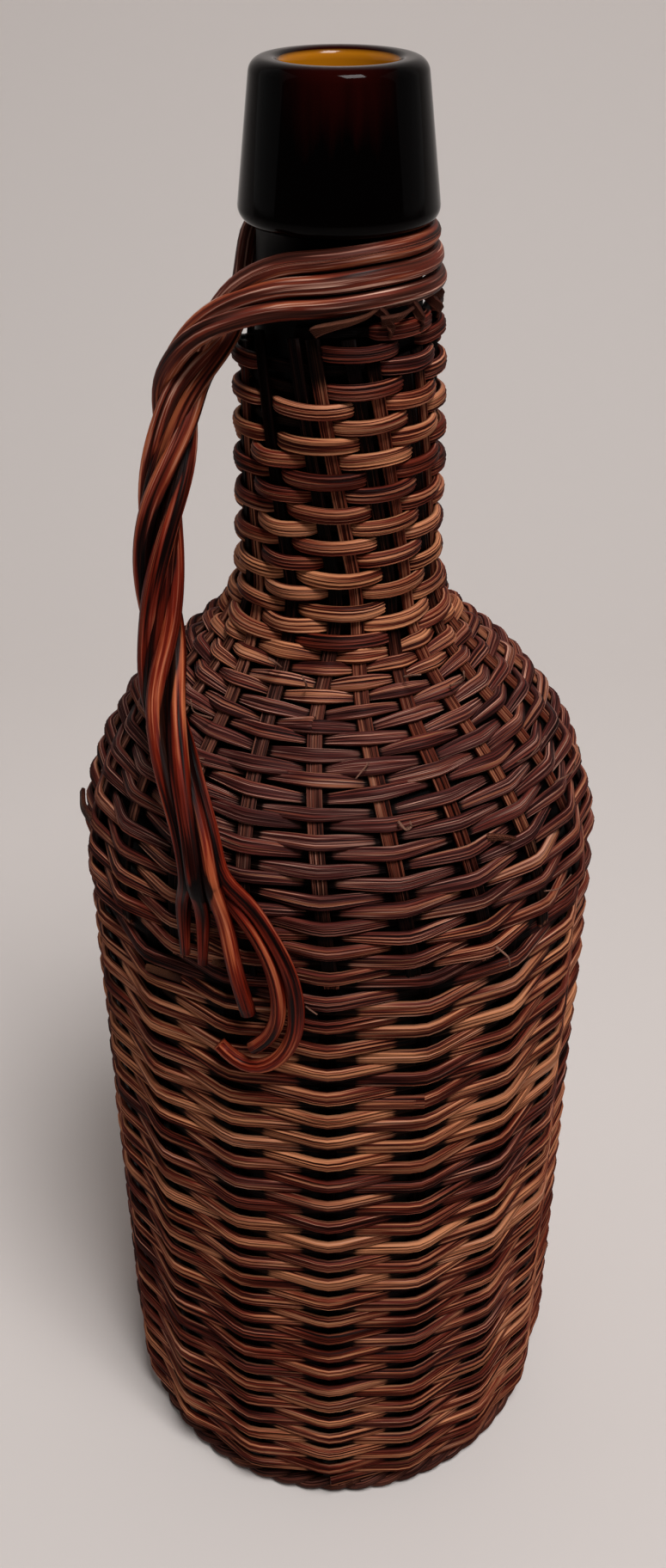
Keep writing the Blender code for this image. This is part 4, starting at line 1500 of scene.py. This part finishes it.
@dataclass
class Handle:
    """Three canes looped round the neck, twisted into a rope and tucked into the shoulder."""

    shape: JacketShape
    cane_width: float = 0.00315
    lobes: int = 4
    lobe_depth: float = 0.06
    section_points: int = 20
    ring_radius: float = 0.00310
    ring_gap: float = 0.0001
    loop_height: float = 0.2756
    loop_pitch: float = 0.0035
    loop_radius: float = 0.0160
    loop_flare: float = 0.0006
    loop_dip: float = 0.0017
    loop_dip_end: float = math.radians(60.0)
    loop_start: float = math.radians(-30.0)
    loop_end: float = math.radians(256.0)
    loop_steps: int = 30
    rope_drop: float = 0.0188
    rope_foot_rise: float = 0.0210
    rope_phase: float = math.radians(-138.0)
    rope_twist: float = math.radians(-432.0)
    twist_ease: float = 1.3
    # Turn in degrees and share of the ring's radius of each strand inside the rope
    strands: tuple[tuple[float, float], ...] = (
        (30.0, 0.92), (75.0, 0.58), (120.0, 0.92), (210.0, 0.92), (255.0, 0.58), (300.0, 0.92))
    # Shares of the rope's length in which its ends open into an even ring
    top_opening: float = 0.08
    foot_opening: float = 0.26
    # How much tighter the rope's foot is, and the shares of its length where it tightens
    foot_tightness: float = 0.16
    foot_start: float = 0.45
    foot_run: float = 0.35
    # Where the painted shade of the rope's crevices begins round its core, and over what
    # distance it fades out
    core_radius: float = 0.0029
    core_fade: float = 0.0011
    bow: float = 0.0122
    step: float = 0.0020
    relax_rounds: int = 5
    # Azimuth in degrees, share of the rope's height and share of its bow
    route: tuple[tuple[float, float, float], ...] = (
        (-74.0, 1.00, 0.34), (-69.0, 0.86, 0.55), (-63.5, 0.72, 0.84), (-59.2, 0.58, 0.99),
        (-56.0, 0.45, 0.92), (-49.0, 0.33, 0.50), (-37.8, 0.21, 0.13), (-28.8, 0.08, 0.01),
        (-26.0, 0.00, 0.00))
    # Azimuth in degrees, radius and height where the middle cane leaves the loops
    front_bends: tuple[tuple[float, float, float], ...] = (
        (-52.0, 0.0214, 0.2714), (-62.0, 0.0262, 0.2672))
    back_bends: tuple[tuple[float, float, float], ...] = (
        (-90.0, 0.0160, 0.2690), (-72.0, 0.0188, 0.2635))
    # Girth of a blunt end, and how many stations it takes to grow to the full girth
    blunt_girth: float = 0.62
    blunt_steps: int = 6
    # Tone: at the rope's foot, added by its top, taken by the loops and by their right side; the
    # loops' loss is partly dirt and partly painted shade, and their right side's loss is painted
    # shade
    foot_tone: float = 0.34
    top_tone: float = 0.29
    loop_tone: float = 0.47
    right_tone: float = 0.10
    tone_spread: float = 0.22
    tone_pace: float = 0.06
    girth_spread: float = 0.05
    girth_pace: float = 0.13
    top_fade: float = 0.90
    # Where each of these changes starts, and over what distance it grows
    top_growth: tuple[float, float] = (0.222, 0.045)
    loop_growth: tuple[float, float] = (0.262, 0.008)
    right_shade_growth: tuple[float, float] = (0.004, 0.010)

    def build(self) -> None:
        """Make a piece for each handle node."""
        grooves = tuple((0.5 - 0.5 * math.cos(TURN * self.lobes * index
                                              / self.section_points)) ** 2
                        for index in range(self.section_points))
        section = CaneSection(self.cane_width, self.cane_width / 2,
                              lobed_shares(self.section_points, self.lobes, self.lobe_depth),
                              grooves)
        centre_line = self._centre_line()
        for cane in HANDLE_CANES:
            points = smooth_path(self._route(cane, centre_line), self.step)
            run = self._stations(relaxed(points, self.relax_rounds), cane)
            mesh = cane_mesh(cane.name, [run], section, Twist.LEAST)
            self._paint_crevice_shade(mesh, centre_line)
            place_piece(cane.name, mesh, HANDLE_CANE, Slot.HANDLE, cane.node)

    def _paint_crevice_shade(self, mesh: bpy.types.Mesh, centre_line: Sequence[Vector]) -> None:
        """Paint shade on the sides of a cane that face the rope's core, by marking them as
        hidden.

        Args:
            mesh: The cane's mesh, whose depth is written anew.
            centre_line: The rope's middle.
        """
        fine = smooth_path(centre_line, self.step / 2)
        core = kdtree.KDTree(len(fine))
        for index, place in enumerate(fine):
            core.insert(place, index)
        core.balance()
        for vertex, mark in zip(mesh.vertices, mesh.attributes["depth"].data):
            away = core.find(vertex.co)[2]
            mark.value = min(1.0, max(0.0, (away - self.core_radius) / self.core_fade))

    def _stations(self, points: Sequence[Vector], cane: HandleCane) -> list[Station]:
        """Dress a handle cane: thin blunt ends, a pale worn top and dark loops, partly dirty and
        partly painted with shade, with more painted shade on their right side.

        Args:
            points: The cane's points, from its front tail to its back tail.
            cane: The cane.

        Returns:
            A station for each point.
        """
        stations = []
        total = len(points) - 1
        for index, place in enumerate(points):
            girth = (along_table(HANDLE_GIRTH, place.z)
                     * (1.0 + self.girth_spread
                        * wander(index * self.girth_pace, cane.level, 5.0)))
            for end, (_, tail) in ((index, cane.front), (total - index, cane.back)):
                if tail in BLUNT_TAILS:
                    full = smooth_step(end / self.blunt_steps)
                    girth *= self.blunt_girth + (1.0 - self.blunt_girth) * full
            high = grown(place.z, *self.top_growth)
            looped = grown(place.z, *self.loop_growth)
            right = grown(place.x, *self.right_shade_growth)
            # The loops lose tone to dirt and painted shade, and their right side to painted
            # shade
            tone = (self.foot_tone + self.top_tone * high
                    - looped * (self.loop_tone + self.right_tone * right)
                    + self.tone_spread * wander(index * self.tone_pace, cane.level, 9.0))
            stations.append(Station(place, girth=girth, tone=tone, fade=high * self.top_fade))
        return stations

    def _centre_line(self) -> list[Vector]:
        """Find the rope's middle, which bows out from the neck.

        Returns:
            Its points, from the top down.
        """
        top = self.loop_height - self.rope_drop
        foot = self.shape.shoulder_start + self.rope_foot_rise
        line = []
        for degrees, height_share, bow_share in self.route:
            height = foot + (top - foot) * height_share
            _, radius, slope = self.shape.at_height(height, LIFTS.resting)
            clear = (self.ring_radius + self.cane_width / 2 + self.ring_gap) / math.cos(slope)
            line.append(polar(math.radians(degrees), radius + clear + self.bow * bow_share,
                              height))
        return smooth_path(line, self.step * 2)

    def _leg(self, centre_line: Sequence[Vector], ring_place: int) -> list[Vector]:
        """Wind one strand of the rope.

        Args:
            centre_line: The rope's middle.
            ring_place: The strand's place in the ring of six.

        Returns:
            The strand's points, from the top down.
        """
        leg = []
        last = len(centre_line) - 1
        degrees, reach_share = self.strands[ring_place]
        evenly = 30.0 + 60.0 * ring_place
        for index, middle in enumerate(centre_line):
            before, after = centre_line[max(index - 1, 0)], centre_line[min(index + 1, last)]
            along = (after - before).normalized()
            outward = Vector((middle.x, middle.y, 0.0)).normalized()
            outward = (outward - along * outward.dot(along)).normalized()
            sideways = outward.cross(along)
            share = index / last
            inside = (smooth_step(share / self.top_opening)
                      * smooth_step((1.0 - share) / self.foot_opening))
            turn = (math.radians(evenly + (degrees - evenly) * inside) + self.rope_phase
                    + self.rope_twist * (1.0 - (1.0 - share) ** self.twist_ease))
            tight = self.foot_tightness * grown(share, self.foot_start, self.foot_run)
            reach = self.ring_radius * (1.0 - tight - (1.0 - reach_share) * inside)
            leg.append(middle + reach * (math.cos(turn) * outward + math.sin(turn) * sideways))
        return leg

    def _tail(self, name: str) -> list[Vector]:
        """Lay the end of a leg on the jacket, below the rope.

        Args:
            name: The tail's name.

        Returns:
            Its points, from the rope to its tip.
        """
        route = []
        for degrees, height_share in TAILS[name]:
            height = self.shape.shoulder_start * height_share
            _, radius, slope = self.shape.at_height(height, LIFTS.resting)
            clear = (self.cane_width / 2) / math.cos(slope)
            route.append(polar(math.radians(degrees), radius + clear, height))
        return route

    def _loop(self, level: int) -> list[Vector]:
        """Lay a loop round the neck.

        Args:
            level: The cane's level in the stack of loops.

        Returns:
            The loop's points, from its front end to its back end.
        """
        radius = self.loop_radius - level * self.loop_flare
        height = self.loop_height + level * self.loop_pitch
        start, end, count = self.loop_start, self.loop_end, self.loop_steps
        loop = []
        for index in range(count + 1):
            azimuth = start + (end - start) * index / count
            dip = self.loop_dip * (1 - smooth_step((azimuth - start) / self.loop_dip_end))
            loop.append(polar(azimuth, radius, height - dip))
        return loop

    def _bends(self, level: int, apart: Vector,
               bends: Sequence[tuple[float, float, float]]) -> list[Vector]:
        """Lead a cane from its loop to its leg, side by side with the others.

        Args:
            level: The cane's level in the stack of loops.
            apart: How far its leg starts from the middle cane's.
            bends: The middle cane's way, as azimuth, radius and height.

        Returns:
            The cane's points, from the loop to the leg.
        """
        stack = Vector((0.0, 0.0, level * self.loop_pitch))
        points = []
        for place, (degrees, radius, height) in enumerate(bends, start=1):
            offset = stack.lerp(apart, place / (len(bends) + 1))
            if level:
                offset = offset.normalized() * self.cane_width
            points.append(polar(math.radians(degrees), radius, height) + offset)
        return points

    def _route(self, cane: HandleCane, centre_line: Sequence[Vector]) -> list[Vector]:
        """Lead a handle cane all the way: tail, leg, loop round the neck, leg, tail.

        Args:
            cane: The cane.
            centre_line: The rope's middle.

        Returns:
            The cane's points.
        """
        middle = HANDLE_CANES[1]
        halves = []
        for (ring_place, tail), (beside, _), bends in (
                (cane.front, middle.front, self.front_bends),
                (cane.back, middle.back, self.back_bends)):
            leg = self._leg(centre_line, ring_place)
            apart = leg[0] - self._leg(centre_line, beside)[0]
            halves.append(self._bends(cane.level, apart, bends) + leg + self._tail(tail))
        return list(reversed(halves[0])) + self._loop(cane.level) + halves[1]


def smooth_path(route: Sequence[Vector], step: float) -> list[Vector]:
    """Space points evenly on a smooth curve through a route.

    Args:
        route: The points to pass through.
        step: About how far apart the new points are.

    Returns:
        The new points, from one end of the route to the other.
    """
    parts = 20
    padded = [2 * route[0] - route[1], *route, 2 * route[-1] - route[-2]]
    dense = []
    for a, b, c, d in zip(padded, padded[1:], padded[2:], padded[3:]):
        for part in range(parts):
            t = part / parts
            dense.append(0.5 * (2 * b + (c - a) * t + (2 * a - 5 * b + 4 * c - d) * t ** 2
                                + (3 * b - a - 3 * c + d) * t ** 3))
    dense.append(route[-1])
    walked = [0.0]
    for first, second in zip(dense, dense[1:]):
        walked.append(walked[-1] + (second - first).length)
    count = max(2, round(walked[-1] / step))
    path, place = [], 0
    for index in range(count + 1):
        target = walked[-1] * index / count
        while place < len(walked) - 2 and walked[place + 1] < target:
            place += 1
        span = walked[place + 1] - walked[place]
        path.append(dense[place].lerp(dense[place + 1], (target - walked[place]) / span))
    return path


def relaxed(points: Sequence[Vector], rounds: int) -> list[Vector]:
    """Smooth the kinks out of a run of points.

    Args:
        points: The points.
        rounds: How many times each point moves towards its neighbours.

    Returns:
        The smoothed points, with both ends kept.
    """
    for _ in range(rounds):
        middles = [(before + point * 2 + after) / 4
                   for before, point, after in zip(points, points[1:], points[2:])]
        points = [points[0], *middles, points[-1]]
    return list(points)


@dataclass
class Bottle:
    """The turned glass shell, open at the mouth."""

    shape: JacketShape
    height: float = 0.3050
    lip_height: float = 0.0242
    lip_base: float = 0.0165
    lip_top: float = 0.0142
    lip_edge: float = 0.0024
    bore: float = 0.0090
    neck_top: float = 0.0136
    # Where the neck narrows to make room for the handle's loops
    loops_foot: float = 0.2660
    wall: float = 0.0036
    floor: float = 0.0050
    foot: float = 0.0043
    heel: float = 0.0060
    punt_rise: float = 0.0030
    punt_radius: float = 0.0330
    # Radius of the lip's inner edge as a share of its outer edge's
    rim_share: float = 0.75
    seam: float = 0.0004
    seam_drop: float = 0.0030
    weld: float = 0.000002
    sides: int = 96

    def build(self) -> None:
        """Spin the outline and dress it."""
        shape = bmesh.new()
        corners = [shape.verts.new((radius, 0.0, height)) for radius, height in self._outline()]
        edges = [shape.edges.new(pair) for pair in zip(corners, corners[1:])]
        bmesh.ops.spin(shape, geom=corners + edges, cent=(0, 0, 0), axis=(0, 0, 1),
                       angle=TURN, steps=self.sides, use_merge=True)
        bmesh.ops.remove_doubles(shape, verts=shape.verts, dist=self.weld)
        bmesh.ops.recalc_face_normals(shape, faces=shape.faces)
        place_piece("amber_bottle", smooth_mesh(shape, "amber_bottle"), BOTTLE_GLASS,
                    Slot.GLASS, "glass_bottle")

    @staticmethod
    def _arc(centre: tuple[float, float], radius: float, start: float, end: float,
             steps: int) -> list[tuple[float, float]]:
        """Draw an arc in the turning plane.

        Args:
            centre: Radius and height of its centre.
            radius: Its radius.
            start: The angle it starts at, 0 being outwards and a quarter turn up.
            end: The angle it ends at.
            steps: How many pieces it has.

        Returns:
            Its points as radius and height.
        """
        turns = [start + (end - start) * step / steps for step in range(steps + 1)]
        return [(centre[0] + radius * math.cos(turn), centre[1] + radius * math.sin(turn))
                for turn in turns]

    def _outline(self) -> list[tuple[float, float]]:
        """Draw the shell's outline.

        Returns:
            Its points from the inside floor up, over the lip and down to the punt.
        """
        shape, edge = self.shape, self.lip_edge
        rim = edge * self.rim_share
        lip_foot = self.height - self.lip_height
        loops_foot = (shape.at_height(self.loops_foot, 0.0)[1], self.loops_foot)
        lean = math.atan2(self.lip_base - self.lip_top, self.lip_height)
        crest = (self.lip_top - edge, self.height - edge)
        base = (self.lip_base - edge, lip_foot + edge)
        heel = (shape.body_radius - self.heel, self.foot + self.heel)
        heel_in = self.heel - self.wall
        half = math.pi / 2
        outline = [(0.0, self.foot + self.punt_rise + self.floor),
                   (self.punt_radius, self.foot + self.floor)]
        outline += self._arc((heel[0], self.foot + self.floor + heel_in), heel_in, -half, 0.0, 4)
        outline += self._arc(shape.shoulder_centre, shape.shoulder_radius - self.wall, 0.0,
                             shape.shoulder_slope, 12)
        outline += self._arc(shape.throat_centre, shape.throat_radius + self.wall,
                             math.pi + shape.shoulder_slope, math.pi + shape.neck_slope, 10)
        outline += [(self.bore, lip_foot), (self.bore, self.height - rim)]
        outline += self._arc((self.bore + rim, self.height - rim), rim, math.pi, half, 5)[1:]
        outline += self._arc(crest, edge, half, lean, 8)
        outline += self._arc(base, edge, lean, -half, 8)
        outline += [(self.neck_top + self.seam, lip_foot),
                    (self.neck_top, lip_foot - self.seam),
                    (self.neck_top, lip_foot - self.seam_drop), loops_foot]
        outline += self._arc(shape.throat_centre, shape.throat_radius,
                             math.pi + shape.neck_slope, math.pi + shape.shoulder_slope, 12)
        outline += self._arc(shape.shoulder_centre, shape.shoulder_radius,
                             shape.shoulder_slope, 0.0, 14)
        outline += self._arc(heel, self.heel, 0.0, -half, 6)
        outline += [(self.punt_radius, self.foot), (0.0, self.foot + self.punt_rise)]
        return outline


@dataclass
class Foot:
    """The twisted border that the jacket stands on and the woven mat inside it."""

    ring_radius: float = 0.0475
    ring_height: float = 0.00250
    coil_radius: float = 0.00100
    coil_turns: int = 17
    coil_steps: int = 12
    overlap_steps: int = 4
    strands: int = 3
    border_width: float = 0.00280
    border_girth: float = 0.93
    mat_section: CaneSection = CaneSection(0.0028, 0.0010, HALF_ROUND_SHARES,
                                           HALF_ROUND_GROOVES)
    spoke_section: CaneSection = CaneSection(0.0016, 0.0008, lobed_shares(8, 2, 0.1))
    mat_height: float = 0.0024
    mat_radius: float = 0.0445
    mat_edge: float = 0.0015
    mat_start: float = 0.004
    mat_pitch: float = 0.0031
    mat_wave: float = 0.0004
    mat_girth: float = 0.98
    # Radius of the mat's middle, and the turn between stations there and outside it
    mat_middle: float = 0.02
    middle_turn: float = 0.16
    outer_turn: float = 0.09
    mat_canes: int = 16
    spoke_start: float = 0.003
    spoke_lift: float = 0.0002
    spoke_steps: int = 6
    # Looks: tones and their spread, fade, and how much shows, with its swing; where less shows,
    # the cane takes painted shade
    border_tone: float = 0.34
    mat_tone: float = 0.45
    spoke_tone: float = 0.4
    tone_spread: float = 0.15
    fade: float = 0.2
    border_shown: float = 0.65
    mat_shown: float = 0.7
    spoke_shown: float = 0.6
    shown_swing: float = 0.3

    def build(self) -> None:
        """Make the border and the mat."""
        section = CaneSection(self.border_width, self.border_width / 2,
                              lobed_shares(points=12, lobes=4, groove=0.10))
        border = [self._border(strand) for strand in range(self.strands)]
        spokes = [self._spoke(index) for index in range(self.mat_canes)]
        for name, runs, shape, twist, nodes in (
                ("twisted_border", border, section, Twist.UPRIGHT, ("foot_ring",)),
                ("woven_mat", [self._mat_spiral()], self.mat_section, Twist.UPRIGHT,
                 ("base_mat",)),
                ("mat_spokes", spokes, self.spoke_section, Twist.LEAST, ())):
            place_piece(name, cane_mesh(name, runs, shape, twist), FOOT_CANE, Slot.FOOT,
                        *nodes)

    def _border(self, strand: int) -> list[Station]:
        """Wind one strand of the twisted border.

        Args:
            strand: The strand's number from 0.

        Returns:
            Its stations, once round and a short overlap.
        """
        stations = []
        steps = self.coil_turns * self.coil_steps
        for index in range(steps + self.overlap_steps):
            azimuth = TURN * index / steps
            phase = azimuth * self.coil_turns + TURN * strand / self.strands
            radius = self.ring_radius + self.coil_radius * math.cos(phase)
            height = self.ring_height + self.coil_radius * math.sin(phase)
            tone = self.border_tone + self.tone_spread * wander(azimuth * 2, strand)
            # Where the strand turns inwards it shows less and takes painted shade
            stations.append(Station(polar(azimuth, radius, height), 0.0, self.border_girth,
                                    tone, self.fade,
                                    self.border_shown + self.shown_swing * math.cos(phase)))
        return stations

    def _mat_spiral(self) -> list[Station]:
        """Wind the mat's cane, under one spoke and over the next.

        Returns:
            Its stations, from the middle out.
        """
        stations = []
        azimuth, radius = 0.0, self.mat_start
        while radius < self.mat_radius - self.mat_edge:
            wave = math.cos(azimuth * (self.mat_canes + 1) / 2)
            place = polar(azimuth, radius, self.mat_height - self.mat_wave * wave)
            tone = self.mat_tone + self.tone_spread * wander(azimuth, 3.0)
            # Where the cane dips under a spoke it shows less and takes painted shade
            stations.append(Station(place, math.pi / 2, self.mat_girth, tone, self.fade,
                                    self.mat_shown + self.shown_swing * wave))
            azimuth += self.middle_turn if radius < self.mat_middle else self.outer_turn
            radius = self.mat_start + self.mat_pitch * azimuth / TURN
        return stations

    def _spoke(self, index: int) -> list[Station]:
        """Lay a straight cane of the mat.

        Args:
            index: The spoke's number from 0.

        Returns:
            Its stations, from the middle out.
        """
        azimuth, length = TURN * index / self.mat_canes, self.mat_radius - self.spoke_start
        return [Station(polar(azimuth, self.spoke_start + length * part / self.spoke_steps,
                              self.mat_height + self.spoke_lift), tone=self.spoke_tone,
                        fade=self.fade, depth=self.spoke_shown)
                for part in range(self.spoke_steps + 1)]


@dataclass
class Studio:
    """Camera, pale floor and soft light."""

    camera_place: tuple[float, float, float] = (0.0, -0.2559, 0.3403)
    pitch: float = math.radians(56.4)
    view_height: float = math.radians(54.83)
    shift: float = -7 / 1824
    clip_start: float = 0.01
    # Each lamp's name, place, side and power
    lamps: tuple[tuple[str, tuple[float, float, float], float, float], ...] = (
        ("ceiling_softbox", (0.24, -0.45, 1.25), 0.40, 14.8),
        ("left_softbox", (-1.1, 0.25, 0.7), 1.4, 2.0),
        ("right_softbox", (1.1, 0.25, 0.7), 1.4, 1.8))
    lamp_aim: float = 0.16
    sky: float = 0.10
    sky_colour: Colour = (1.0, 0.98, 0.96)
    floor_front: float = -3.0
    floor_width: float = 5.0
    sweep_start: float = 0.35
    sweep_radius: float = 0.30
    sweep_steps: int = 12
    wall_top: float = 1.6

    def build(self) -> None:
        """Make the floor, the lamps, the world and the camera."""
        self._ground()
        for lamp in self.lamps:
            self._lamp(*lamp)
        world = bpy.data.worlds.new("pale_room")
        world.use_nodes = True
        backdrop = world.node_tree.nodes["Background"]
        backdrop.inputs["Color"].default_value = (*self.sky_colour, 1.0)
        backdrop.inputs["Strength"].default_value = self.sky
        bpy.context.scene.world = world
        bpy.context.scene.view_settings.view_transform = "Standard"
        self._camera()

    def _ground(self) -> None:
        """Lay the floor and sweep it up behind the bottle."""
        shape = bmesh.new()
        steps, start, radius = self.sweep_steps, self.sweep_start, self.sweep_radius
        turns = [math.pi / 2 * step / steps for step in range(steps + 1)]
        line = [(self.floor_front, 0.0),
                *((start + radius * math.sin(turn), radius * (1.0 - math.cos(turn)))
                  for turn in turns),
                (start + radius, self.wall_top)]
        corners = [shape.verts.new((-self.floor_width / 2, y, z)) for y, z in line]
        edges = [shape.edges.new(pair) for pair in zip(corners, corners[1:])]
        drawn = bmesh.ops.extrude_edge_only(shape, edges=edges)["geom"]
        moved = [part for part in drawn if isinstance(part, bmesh.types.BMVert)]
        bmesh.ops.translate(shape, verts=moved, vec=(self.floor_width, 0.0, 0.0))
        bmesh.ops.recalc_face_normals(shape, faces=shape.faces)
        ground = add_object("pale_ground", smooth_mesh(shape, "pale_ground"))
        ground.data.materials.append(FloorFinish().material())

    def _lamp(self, name: str, place: tuple[float, float, float], size: float,
              power: float) -> None:
        """Hang a soft lamp that faces the bottle's shoulder.

        Args:
            name: Its name.
            place: Where it hangs.
            size: The side of its square.
            power: Its power in watts.
        """
        lamp = bpy.data.lights.new(name, "AREA")
        lamp.shape = "SQUARE"
        lamp.size = size
        lamp.energy = power
        holder = add_object(name, lamp)
        holder.location = place
        aim = Vector((0.0, 0.0, self.lamp_aim)) - Vector(place)
        holder.rotation_euler = aim.to_track_quat("-Z", "Y").to_euler()

    def _camera(self) -> None:
        """Set the camera at the photograph's viewpoint."""
        lens = bpy.data.cameras.new("camera")
        lens.sensor_fit = "VERTICAL"
        lens.angle_y = self.view_height
        lens.shift_x = self.shift
        lens.clip_start = self.clip_start
        holder = add_object("camera", lens)
        holder.location = self.camera_place
        holder.rotation_euler = (self.pitch, 0.0, 0.0)
        bpy.context.scene.camera = holder


def main() -> None:
    """Build every piece in order."""
    logging.basicConfig(level=logging.INFO, format="%(message)s")
    shape = JacketShape()
    plan = WeavePlan(shape)
    for maker in (Studio(), Bottle(shape), Foot(), Uprights(plan), Weavers(plan),
                  Handle(shape), Scraps(shape)):
        maker.build()


if __name__ == "__main__":
    main()
